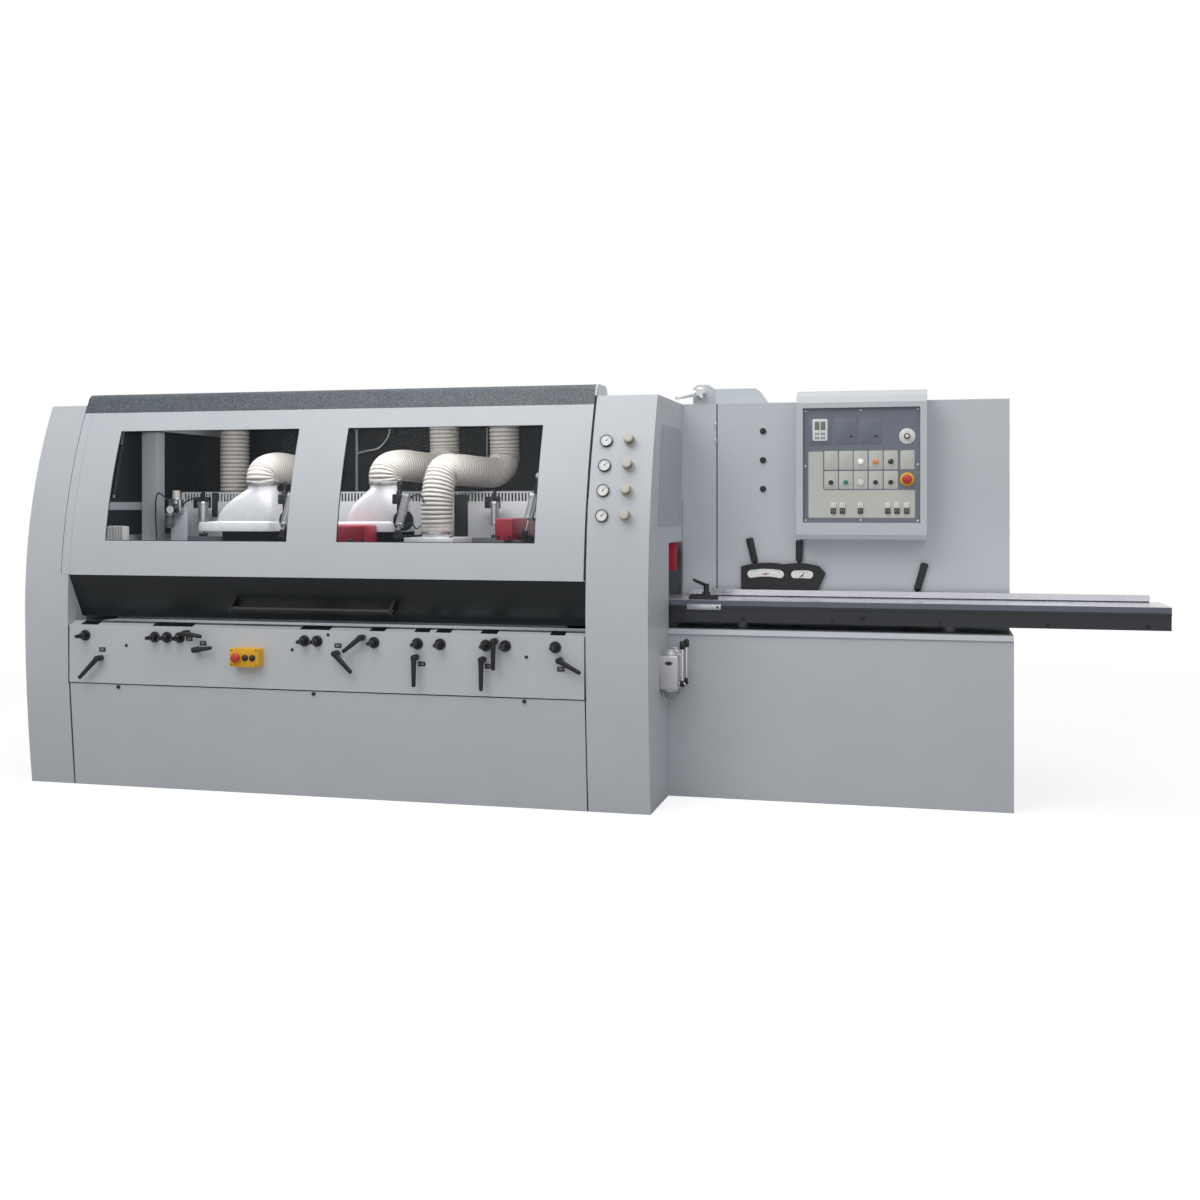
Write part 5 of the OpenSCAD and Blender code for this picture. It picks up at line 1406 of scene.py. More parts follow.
    def _arm(self, made: Forge, x: float, y: float) -> None:
        """Flat arm from the beam to under a cylinder.

        Args:
            made: Piece that takes it.
            x: Middle of the arm.
            y: Where the cylinder stands.
        """
        low = (x - self.arm_half, y - 18, self.beam_z[1])
        made.use(Coat.MOTOR).box(low, (x + self.arm_half, self.beam_y[1], self.beam_z[1] + 14), 2.0)

    def _uprights(self, made: Forge) -> None:
        """Upright cylinders on the beam with their valve blocks, and a dark block beside the low hose.

        Args:
            made: Piece that takes the shapes.
        """
        y, top = sum(self.beam_y) / 2, self.beam_z[1]
        for x, length, d in self.upright_at:
            r, cap = d / 2, 66 + length
            self._arm(made, x, y)
            made.use(Coat.CHROME).lathe([(6, 8), (6, 60)], (x, y, top), sides=24)
            made.use(Coat.ALLOY).lathe(self._barrel(r, 58, cap + 16), (x, y, top), sides=48)
            made.use(Coat.BLACK).lathe(
                [(r + 1, cap + 15), (r + 1, cap + 24), (0, cap + 24)], (x, y, top), sides=48)
            made.box(
                (x - r - 34, y + 6, top + cap - 16), (x + r - 2, self.beam_y[1] + 18, top + cap + 40), 3.0)
            made.box((x - 7, y - 6, top + cap + 20), (x + 7, y + 12, top + cap + 66), 2.0)
            if x < self.block_x:
                made.box(
                    (x + r + 18, y + 8, top + 96), (x + r + 40, self.beam_y[1] + 10, top + cap + 62), 3.0)
        low = (self.block_x - 28, self.beam_y[0] + 2, top)
        made.use(Coat.MOTOR).box(low, (self.block_x + 28, self.beam_y[1] - 2, 1308.0), 3.0)

    def _leaning(self, made: Forge) -> None:
        """Leaning cylinders before the hoods, on arms, with their forks and valves.

        Args:
            made: Piece that takes the shapes.
        """
        y, top = self.before_y, self.beam_z[1]
        for x, rod, length, d in self.leaning_at:
            r = d / 2
            self._arm(made.at(STILL), x, y)
            turn = Matrix.Translation((x, y, top + 8)) @ turned(self.lean, "Y")
            made.at(turn).use(Coat.BLACK).box((-12, -13, 2), (12, 13, 34), 3.0)
            made.use(Coat.CHROME).lathe([(7, 6), (7, rod + 32)], ORIGIN, sides=24)
            foot, head = rod + 22, rod + 22 + length
            made.use(Coat.ALLOY).lathe(self._barrel(r, foot, head), ORIGIN, sides=48)
            made.use(Coat.CHROME)
            off = (r + 1.5) * math.sqrt(0.5)
            for px, py in ((off, off), (-off, off), (-off, -off), (off, -off)):
                made.lathe([(2.4, foot + 8), (2.4, head - 8)], (px, py, 0), sides=12)
            for h in (foot + 8, head - 8):
                made.use(Coat.BLACK).lathe([(6, 0), (6, 8), (4, 10), (4, 15)], (r + 2, 0, h), (1, 0, 0), 16)
            if rod > self.short_rod:
                made.use(Coat.BLACK).box((-11, 8, head - 20), (11, 16, head + 96), 3.0)
                made.use(Coat.ALLOY).lathe(
                    [(13, 0), (13, 20), (10, 22), (0, 22)], (0, 10, head + 82), FRONT, 28)
                made.at(STILL)
                continue
            made.at(STILL).use(Coat.BLACK)
            made.box((x - 12, y + 26, top + 12), (x + 8, y + 40, top + 196), 2.0)
            made.box((x - 30, y + 14, top + 160), (x + 20, y + 46, top + 206), 4.0, 3)
            made.lathe(
                [(13, 0), (13, 14), (9, 18), (9, 58), (6, 62), (0, 62)], (x - 2, y + 30, top + 204),
                sides=28)
            wheel = [
                (0, 0), (46, 0), (48, 4), (48, 18), (45, 22), (34, 22), (30, 17), (14, 17), (12, 22),
                (0, 22)]
            made.use(Coat.RUBBER).lathe(wheel, (x + 18, y + 46, top + 84), FRONT, 48)

    def _tubes(self) -> None:
        """Thin air tubes from the cylinders and the filter unit to the beam."""
        lines = Forge("air_tubes", Coat.INK)
        top = self.beam_z[1]
        for x, rod, length, d in self.leaning_at:
            lean = math.radians(self.lean)
            for h in (rod + 30, rod + 14 + length):
                across = h * math.sin(lean) + (d / 2 + 15) * math.cos(lean)
                start = Vector((x + across, self.before_y, top + 8 + h * math.cos(lean)))
                way = [start, start + Vector((22, 14, 6)), start + Vector((26, 60, -20))]
                way.append(Vector((start.x + 6, -60, top + 60)))
                way.append(Vector((x + 20, self.beam_y[0] - 6, top + 10)))
                way.append(Vector((x + 20, self.beam_y[0] + 4, top - 20)))
                lines.sweep(smooth_route(way, 6.0), 3.5, 12)
        x, z = self.unit
        for lift, side in ((62.0, -1.0), (36.0, 1.0)):
            start = Vector((x - 7 + 32 * side, 20.0, z + lift - 24))
            way = [start]
            for dx, dy, dz in ((30, -14, 30), (78, 6, 44), (110, 40, -30)):
                way.append(start + Vector((dx * side, dy, dz)))
            way.append(Vector((start.x + 96 * side, self.beam_y[0] + 6, top - 20)))
            lines.sweep(smooth_route(way, 6.0), 3.5, 12)
        lines.done("frame")

    def _unit(self, made: Forge) -> None:
        """Filter and pressure unit with a bowl, a knob and a dial, on an upright plate.

        Args:
            made: Piece that takes the shapes.
        """
        x, z = self.unit
        y = self.beam_y[0] + 6
        made.use(Coat.GREY_SIDE).box((x - 48, y - 12, self.beam_z[0] + 8), (x + 44, y - 8, z + 18), 1.0)
        made.box((x - 24, y, self.beam_z[1]), (x + 24, y + 8, z + 55), 1.0)
        made.use(Coat.ALLOY).box((x - 42, y - 50, z - 16), (x + 28, y - 8, z + 55), 9.0, 4)
        made.lathe([(27, 30), (27, 44), (24, 47), (24, 58)], (x - 7, y - 29, z), sides=40)
        bowl = [(0, -75), (14, -74), (20, -66), (21, -56), (21, -10), (20, 0)]
        made.use(Coat.SMOKED).lathe(bowl, (x - 44, y - 30, z - 14), sides=40)
        made.use(Coat.ALLOY).lathe(
            [(21.5, -12), (23, -10), (23, 0), (0, 0)], (x - 44, y - 30, z - 14), sides=40)
        knob = [(21, 54), (21, 60), (19, 62), (19, 94), (16, 97), (0, 97)]
        made.use(Coat.KNOB).lathe(knob, (x - 7, y - 29, z), sides=36)
        dial = (x - 20, y - 50, z + 2)
        rim = [(10, 0), (10, 4), (22, 5), (22, 15), (20, 16), (20, 14.5), (0, 14.5)]
        made.use(Coat.INK).lathe(rim, dial, FRONT, 40)
        made.use(Coat.PAPER).lathe([(19.8, 14.4), (19.8, 14.9), (0, 14.9)], dial, FRONT, 40)
        made.use(Coat.INK).box((x - 20.6, y - 65.6, z - 5), (x - 19.4, y - 65.1, z + 17))
        made.use(Coat.BLACK).lathe([(11, 0), (11, 14), (8, 16), (0, 16)], (x + 12, y - 49, z - 2), FRONT, 24)

    def _guards(self) -> None:
        """Red guards with rounded edges, the swinging guard at the infeed and the flap before it."""
        made = Forge("red_guards", Coat.RED)
        y, low = self.guard_y, self.beam_z[0] + 34
        made.box((-1201, y, low), (-966, -200, low + 90), 14.0, 5)
        made.box((-1199, y + 14, low), (-968, -200, low + 40), 1.5)
        top = self.beam_z[1]
        made.box((-355, y, top), (-274, self.beam_y[1], top + 95), 4.0, 3)
        swing = [(-190, 1090), (41.7, 1090), (41.7, 1046), (-60, 930), (-130, 930), (-190, 970)]
        made.prism(swing, 180.0, 210.0, "x", 2.0)
        made.box((326, 26, 961), (399, 38, 1090), 2.0)
        for x, z in ((-1180.0, low + 16), (-988.0, low + 16), (-340.0, top + 14), (-289.0, top + 14)):
            made.use(Coat.MOTOR).lathe([(7, 0), (7, 4), (4, 4), (4, 2), (0, 2)], (x, y, z), FRONT, 24)
        made.lathe(
            [(13, 0), (13, 8), (17, 10), (17, 20), (13, 24), (0, 24)], (-1040.0, y, low + 8), FRONT, 32)
        made.done("frame", 40.0, ("spindle_guards",))


def handle(
        made: Forge, place: Matrix, stations: Sequence[tuple[float, float, float, float]],
        sides: int = 24) -> None:
    """Adds a moulded handle along +X of a place, its sections rounded rectangles.

    Args:
        made: Piece that takes the shape.
        place: Where the handle starts and how it is turned.
        stations: Distance along, half width, half thickness and sideways offset of each section.
        sides: Points on each section.
    """
    rings = []
    for along, half, thick, offset in stations:
        ring = []
        for i in range(sides):
            a = 2 * math.pi * i / sides
            c, s = math.cos(a), math.sin(a)
            k = (abs(c) ** 3.2 + abs(s) ** 3.2) ** (-1 / 3.2)
            ring.append((along, half * k * c, offset + thick * k * s))
        rings.append(ring)
    made.at(place).loft(rings).at(STILL)


def upright_plane(x: float, y: float, z: float, angle: float) -> Matrix:
    """Place in an upright plane: +X turned up by an angle, +Z towards the front."""
    return Matrix.Translation((x, y, z)) @ turned(90, "X") @ turned(angle, "Z")


def mushroom(name: str, node: str, at: Point, stem: float) -> None:
    """Makes a red mushroom head on its stem, with a turned rim.

    Args:
        name: Name of the piece.
        node: CAD node and body that it stands for.
        at: Where its stem meets the plate in front.
        stem: How far the stem reaches behind that.
    """
    made = Forge(name, Coat.SCARLET)
    made.lathe([(11, -stem), (11, 8.8)], at, FRONT, 40)
    head = [(0, 9), (18.5, 9), (20.5, 13), (20.5, 18), (19, 21.5), (15, 24.4), (9, 26.2), (0, 26.9)]
    made.lathe(head, at, FRONT, 56)
    made.done(node, 45.0, (node,))


@dataclass
class Fascia(Assembly):
    """Controls along the fascia: clamp levers, adjusters and the stop box."""

    levers: tuple[tuple[float, float, float, float], ...] = (
        (170, 578, 225, 127), (600, 699, -8, 86), (650, 628, 8, 85), (1426, 698, 218, 100),
        (1309, 628, -45, 111), (1668, 621, 270, 122), (1964, 620, 270, 128), (2016, 697, 270, 119),
        (2296, 625, -28, 104))
    plates: tuple[Flat, ...] = (
        (174, 615), (605, 673), (672, 655), (1310, 660), (1690, 592), (1984, 591), (2295, 587))
    adjuster_z: float = 677.0
    box_x: Flat = (-1413.0, -1279.0)
    box_z: Flat = (561.5, 642.5)
    box_y: float = -759.5

    def build(self) -> None:
        """Makes the levers, the adjusters, the plates and the stop box."""
        for i, (along, z, angle, length) in enumerate(self.levers, 1):
            self._lever(i, PLAN.x_bay + along, z, angle, length)
        self._adjusters()
        self._plates()
        self._stop_box()
        mushroom(
            "box_mushroom", "box_stop_button", (self.box_x[0] + 34, self.box_y, sum(self.box_z) / 2), 14.0)

    def _lever(self, number: int, x: float, z: float, angle: float, length: float) -> None:
        """Clamp lever: domed hub with a screw, and an arm that narrows towards its end.

        Args:
            number: Number of the lever.
            x: Where its stud stands.
            z: Height of its stud.
            angle: Angle of its arm above +X.
            length: Length of its arm.
        """
        y = PLAN.y_fascia
        made = Forge(f"clamp_handle_{number}", Coat.BLACK)
        made.lathe(
            [(11.5, 0.4), (11.5, 5), (13, 7), (13, 42), (11.5, 45), (6, 45.8), (6, 44.5), (0, 44.5)],
            (x, y, z), FRONT, 36)
        made.use(Coat.INK).lathe([(5, 44), (5, 45.4), (3, 45.8), (0, 45.8)], (x, y, z), FRONT, 20)
        made.use(Coat.BLACK)
        stations = [(-6, 8, 7.0, 0), (0, 11, 7.6, 0), (12, 11, 7.6, 0), (length * 0.5, 9.6, 7.0, 0)]
        stations += [(length - 8, 8.4, 6.4, 0), (length - 2, 7.6, 5.6, 0), (length, 5, 3.4, 0)]
        handle(made, upright_plane(x, y - 37.5, z, angle), stations)
        made.done(f"clamp_lever_{number}", 40.0, (f"clamp_lever_{number}",))

    def _adjusters(self) -> None:
        """Black adjuster shafts with flange, collar and six-sided end."""
        made = Forge("adjuster_ends", Coat.BLACK)
        y = PLAN.y_fascia
        for x in ADJUSTER_X:
            at = (x, y, self.adjuster_z)
            made.use(Coat.BLACK).lathe([(24, 0), (24, 6.5), (22, 9), (13, 9)], at, FRONT, 48)
            made.use(Coat.INK).lathe([(12.5, 8), (12.5, 38), (11, 40), (0, 40)], at, FRONT, 36)
            made.use(Coat.INK).lathe([(9.2, 39), (9.2, 70), (7.4, 73), (0, 73)], at, FRONT, 6)
        made.done("frame", 35.0, ("adjuster_shafts",))

    def _plates(self) -> None:
        """Small blank index plates beside the levers."""
        made = Forge("index_plates", Coat.INK)
        for along, z in self.plates:
            x, y = PLAN.x_bay + along, PLAN.y_fascia
            made.use(Coat.INK).prism(rounded(x - 16, x + 16, z - 10, z + 10, 2), y, y - 1.2, "y", 0.3)
            made.use(Coat.SCREEN).prism(rounded(x - 9, x + 9, z - 4.5, z + 4.5, 1), y - 1.1, y - 1.5, "y")
        made.done("frame")

    def _stop_box(self) -> None:
        """Yellow box with a split lid, corner screws and two black push buttons."""
        made = Forge("yellow_stop_box", Coat.YELLOW)
        x0, x1 = self.box_x
        z0, z1 = self.box_z
        y0, y1 = self.box_y, PLAN.y_fascia
        made.prism(rounded(x0, x1, z0, z1, 9), y1, y1 - 26, "y")
        made.prism(rounded(x0 + 1, x1 - 1, z0 + 1, z1 - 1, 8), y1 - 25, y1 - 27.5, "y")
        made.prism(rounded(x0, x1, z0, z1, 9), y1 - 27, y0, "y", 3.0)
        middle = (z0 + z1) / 2
        made.use(Coat.INK)
        for x in (x0 + 74, x0 + 108):
            made.lathe(
                [(14, -1), (14, 4), (12.5, 5), (12.5, 4), (11, 4), (11, 8), (9.5, 9), (0, 8.4)],
                (x, y0, middle), FRONT, 36)
        made.use(Coat.RUBBER)
        for x in (x0 + 9, x1 - 9):
            for z in (z0 + 9, z1 - 9):
                made.lathe([(4, -0.5), (4, 0.5), (2, 0.7), (2, -0.6), (0, -0.6)], (x, y0, z), FRONT, 18)
        made.done("frame", 40.0, ("stop_button_box",))


@dataclass
class Panel(Assembly):
    """Operator's panel: fields, lamps, buttons, timer, speed dial and screws."""

    x: float = 980.5
    z: float = 1182.0
    y: float = -70.0
    cell_x: tuple[float, ...] = (121.0, 185.0, 248.0, 312.0, 376.0)
    double_x: tuple[float, ...] = (131.0, 170.0, 247.0, 363.0, 402.0, 443.0)
    lamp_z: float = 265.0
    push_z: float = 175.0
    speed: Flat = (445.0, 374.0)
    stop: Flat = (445.0, 188.0)
    screws: tuple[Flat, ...] = (
        (10, 10), (248, 12), (490, 10), (10, 248), (490, 252), (10, 488), (248, 489), (490, 490))

    def dress(self) -> None:
        """Gives the plate its coat."""
        dress(Coat.PANEL, "control_plate")

    def build(self) -> None:
        """Makes the plate's fields and everything mounted on it."""
        self._fields()
        self._controls()
        mushroom(
            "panel_mushroom", "panel_stop_button",
            (self.x + self.stop[0], self.y - 6, self.z + self.stop[1]), 14.0)

    def _field(
            self, made: Forge, x0: float, x1: float, z0: float, z1: float, r: float, proud: float) -> None:
        """Adds a flat field with round corners to the plate.

        Args:
            made: Piece that takes it.
            x0: Left side on the plate.
            x1: Right side on the plate.
            z0: Lower side on the plate.
            z1: Upper side on the plate.
            r: Corner radius.
            proud: Thickness.
        """
        made.prism(
            rounded(self.x + x0, self.x + x1, self.z + z0, self.z + z1, r), self.y, self.y - proud, "y", 0.2)

    def _fields(self) -> None:
        """Printed fields and frames on the plate, and its screws."""
        made = Forge("panel_fields", Coat.FIELD)
        corner = [
            (23, 26), (27, 22), (473, 22), (477, 26), (477, 138), (473, 142), (92, 142), (86, 148),
            (86, 307), (82, 311), (27, 311), (23, 307)]
        made.prism([(self.x + a, self.z + b) for a, b in corner], self.y, self.y - 0.7, "y")
        for x in self.cell_x:
            self._field(made, x - 29.5, x + 29.5, 147, 225, 5, 0.7)
        for x in (*self.cell_x, 446.0):
            self._field(made, x - 29.5, x + 29.5, 231, 313, 5, 0.7)
        made.use(Coat.PANEL_DEEP)
        for x0, x1, z0, z1 in ((28, 124, 338, 458), (136, 232, 342, 461), (242, 338, 342, 461)):
            self._field(made, x0, x1, z0, z1, 4, 0.4)
            made.use(Coat.PANEL)
            self._field(made, x0 + 2.4, x1 - 2.4, z0 + 2.4, z1 - 2.4, 3, 0.7)
            made.use(Coat.PANEL_DEEP)
        made.use(Coat.INK)
        for x in (207.0, 313.0):
            self._field(made, x - 8, x + 8, 372, 379, 1.5, 1.0)
        made.use(Coat.IVORY)
        for x, z in self.screws:
            made.lathe([(4.6, 0), (4.6, 1), (3, 2.4), (0, 2.8)], (self.x + x, self.y, self.z + z), FRONT, 24)
        made.done("frame")

    def _controls(self) -> None:
        """Lamps, selector, push buttons, double buttons, timer, speed dial and stop collar."""
        made = Forge("panel_buttons", Coat.CHROME)

        def put(profile: Sequence[Flat], x: float, z: float, finish: Finish, sides: int = 40) -> None:
            """Turns a profile onto the plate at a place on it."""
            made.use(finish).lathe(profile, (self.x + x, self.y, self.z + z), FRONT, sides)

        ring = [(14, 0), (14, 3), (12.6, 4.6), (11.4, 4.6)]
        for x, finish in zip(self.cell_x[2:], (Coat.LAMP, Coat.AMBER, Coat.INK)):
            put(ring, x, self.lamp_z, Coat.IVORY if finish is Coat.LAMP else Coat.CHROME)
            dome = [(12, 3), (12, 8), (10.5, 11.5), (7, 13.4), (0, 14)]
            put(
                dome if finish is not Coat.INK else [(12, 3), (12, 7), (11, 8), (0, 8)], x, self.lamp_z,
                finish)
        spot = Matrix.Translation((self.x + self.cell_x[4], self.y, self.z + self.lamp_z))
        made.at(spot @ turned(-40, "Y")).use(Coat.INK).box((-4, -14, -11.5), (4, -7, 11.5), 1.5)
        made.use(Coat.IVORY).box((-0.9, -14.3, 2), (0.9, -13.6, 11), 0.2).at(STILL)
        for x, finish in zip(self.cell_x, (Coat.INK, Coat.GREEN, Coat.IVORY, Coat.INK, Coat.INK)):
            put(ring, x, self.push_z, Coat.CHROME if finish is not Coat.IVORY else Coat.IVORY)
            put([(11.2, 3), (11.2, 8.4), (10, 9.6), (6, 9.2), (0, 9.0)], x, self.push_z, finish)
        for x in self.double_x:
            for finish, low, high, mark in ((Coat.IVORY, 64.6, 88.0, 76), (Coat.INK, 40.0, 63.6, 52)):
                key = rounded(self.x + x - 11, self.x + x + 11, self.z + low, self.z + high, 3)
                made.use(finish).prism(key, self.y, self.y - 8, "y", 1.2)
                put([(6.5, 7.5), (6.5, 8.1), (5.4, 8.1), (5.4, 7.5)], x, mark, Coat.FIELD, 28)
        put([(34, 0), (34, 2.2), (33, 3), (0, 3)], *self.speed, Coat.IVORY, 64)
        put([(13, 2), (13, 12), (11.5, 15), (8, 15.6), (8, 13), (0, 13)], *self.speed, Coat.INK)
        put([(7.6, 12), (7.6, 16.6), (6, 17.4), (0, 17.4)], *self.speed, Coat.IVORY)
        for k in range(11):
            a = math.radians(225 - 27 * k)
            x, z = self.speed[0] + 27 * math.cos(a), self.speed[1] + 27 * math.sin(a)
            put([(1.1, 2.8), (1.1, 3.3), (0, 3.3)], x, z, Coat.INK, 10)
        self._timer(made)
        put([(30, 0), (30, 4.5), (28, 6), (11.4, 6)], *self.stop, Coat.YELLOW, 56)
        made.done("frame", 40.0, ("panel_controls",))

    def _timer(self, made: Forge) -> None:
        """White timer with two screens and four keys.

        Args:
            made: Piece that takes it.
        """
        made.use(Coat.IVORY)
        self._field(made, 41, 106, 357, 453, 7, 6.0)
        made.use(Coat.SCREEN)
        self._field(made, 50, 72, 405, 442, 2, 6.4)
        self._field(made, 76, 97, 405, 442, 2, 6.4)
        made.use(Coat.PANEL)
        for x in (56, 66, 81, 91):
            for z in (370, 388):
                self._field(made, x - 3.5, x + 3.5, z - 4, z + 4, 1.5, 6.6)


@dataclass
class Gauges(Assembly):
    """Pressure dials and turning knobs down the column's curved front."""

    rows: tuple[float, ...] = (1214.0, 1317.0, 1420.0, 1523.0)
    needles: tuple[float, ...] = (-52.0, -40.0, -48.0, -44.0)
    dial_x: float = 220.0
    knob_x: float = 320.0

    def build(self) -> None:
        """Makes a dial and a knob on each row."""
        dials = Forge("pressure_dials", Coat.INK)
        knobs = Forge("pressure_knobs", Coat.KNOB)
        for row, z in enumerate(self.rows):
            lean = PLAN.lean(z)
            turn = turned(-lean, "X") @ turned(90, "X")
            self._dial(dials, Matrix.Translation((self.dial_x, PLAN.front(z), z)) @ turn, row)
            self._knob(knobs, Matrix.Translation((self.knob_x, PLAN.front(z), z)) @ turn)
        dials.done("frame", 35.0, ("pressure_regulators",))
        knobs.done("frame", 35.0)

    def _dial(self, made: Forge, place: Matrix, row: int) -> None:
        """One dial: black case, white face, marks, needle and a hub.

        Args:
            made: Piece that takes it.
            place: Where it stands, +Z outwards.
            row: Its row, which sets the needle.
        """
        made.at(place).use(Coat.INK).lathe(
            [(26.5, -3), (26.5, 12), (25.5, 14), (23.2, 14), (22.4, 11), (0, 11)], ORIGIN, sides=56)
        made.use(Coat.PAPER).lathe([(22.3, 10.8), (22.3, 11.4), (0, 11.4)], ORIGIN, sides=56)
        made.use(Coat.INK)
        for k in range(13):
            made.at(place @ turned(135 - 22.5 * k, "Z")).box(
                (-0.5, 16.0 if k % 3 else 14.0, 11.3), (0.5, 20.0, 11.7))
        made.at(place @ turned(self.needles[row], "Z")).box((-0.9, -5.0, 11.6), (0.9, 17.0, 12.2))
        made.at(place).lathe([(3, 11.4), (3, 12.8), (0, 12.8)], ORIGIN, sides=20).at(STILL)

    def _knob(self, made: Forge, place: Matrix) -> None:
        """One knob: base ring, ribbed body and a smooth cap.

        Args:
            made: Piece that takes it.
            place: Where it stands, +Z outwards.
        """
        made.at(place).use(Coat.KNOB).lathe(
            [(25, -3), (25, 4.5), (23.5, 6), (19, 8.5), (19, 14)], ORIGIN, sides=48)
        rings = []
        for h, r in ((14, 20.2), (16, 21.4), (37, 21.4), (38.5, 20.4)):
            ring = []
            for i in range(144):
                a = 2 * math.pi * i / 144
                rib = 0.8 * (0.5 + 0.5 * math.cos(36 * a)) if 15 < h < 38 else 0.0
                ring.append(((r - rib) * math.cos(a), (r - rib) * math.sin(a), h))
            rings.append(ring)
        made.use(Coat.RIBBED).loft(rings)
        made.use(Coat.KNOB).lathe(
            [(20.4, 38), (21, 39.5), (20.6, 45), (18.5, 49), (14, 50), (0, 49.4)], ORIGIN, sides=48)
        made.at(STILL)


@dataclass
class Lubricators(Assembly):
    """Two oil pumps on the column's side, each with a hand lever."""

    pump_y: tuple[float, ...] = (-470.0, -372.0)
    pump_z: float = 483.0
    size: Point = (75.0, 70.0, 143.0)

    def build(self) -> None:
        """Makes the pumps and their levers."""
        made = Forge("oil_pumps", Coat.PUMP)
        x0 = PLAN.x_side
        for y in self.pump_y:
            z = self.pump_z
            w, d, h = self.size
            made.use(Coat.PUMP).box((x0, y, z), (x0 + w, y + d, z + h), 7.0, 4)
            at = (x0 + 38, y + d / 2, z + h)
            made.lathe(
                [(26, -2), (28, 1), (28, 11), (26, 14), (20, 14.5), (20, 22), (18, 24), (0, 24.4)], at,
                sides=48)
            made.use(Coat.OIL).lathe(
                [(0, -38), (16, -38), (22, -34), (27, -14), (31, -1), (31, 0.5)], (at[0], at[1], z),
                sides=48)
            made.use(Coat.PUMP).lathe([(31.4, -7), (32, -6), (32, 1)], (at[0], at[1], z), sides=48)
            badge = Matrix.Translation((x0 + 38, y, z + 112)) @ turned(90, "X")
            plate = [[(17 * c, 9 * s, h0) for c, s in ellipse(1, 1, 40)] for h0 in (0.0, 1.0)]
            made.at(badge).use(Coat.MOTOR).loft(plate)
            rim = ((15.5, 1.0), (15.5, 1.5), (14.5, 1.5), (14.5, 1.0))
            rings = [[(k * c, (k - 7.5) * s, h0) for c, s in ellipse(1, 1, 40)] for k, h0 in rim]
            made.use(Coat.CHROME).loft(rings, OPEN)
            made.at(STILL).use(Coat.CHROME)
            made.lathe([(7, 0), (7, 25), (5.5, 26), (0, 26)], (x0 + w, y + 35, z + 24), (1, 0, 0), 28)
            made.use(Coat.ALLOY).box((x0, y - 15, z + 4), (x0 + 5, y + 4, z + h - 4), 1.0)
            for lift in (14.0, h - 14.0):
                made.use(Coat.CHROME).lathe(
                    [(5.5, 0), (5.5, 5), (0, 6)], (x0 + 4, y - 8, z + lift), (1, 0, 0), 6)
        made.done("frame", 40.0, ("lubricators",))
        for number, y in enumerate(self.pump_y, 1):
            self._lever(number, y + 35)

    def _lever(self, number: int, y: float) -> None:
        """Pump lever: hub, chromed rod and a black grip.

        Args:
            number: Number of the pump.
            y: Where its stud lies.
        """
        x, z = PLAN.x_side + self.size[0] + 6, self.pump_z + 24
        made = Forge(f"pump_handle_{number}", Coat.BLACK)
        made.lathe([(7.1, 0), (13.5, 0), (14, 1), (14, 15), (13, 16), (7.1, 16)], (x, y, z), (1, 0, 0), 36)
        made.use(Coat.CHROME).sweep([(x + 8, y, z + 10), (x + 8, y, z + 148)], 5.0, 20)
        made.use(Coat.BLACK).lathe(
            [(5, 144), (10.5, 146), (12, 150), (12, 168), (10, 176), (6, 179.6), (0, 180)], (x + 8, y, z),
            sides=32)
        made.done(f"lubricator_lever_{number}", 40.0, (f"lubricator_lever_{number}",))


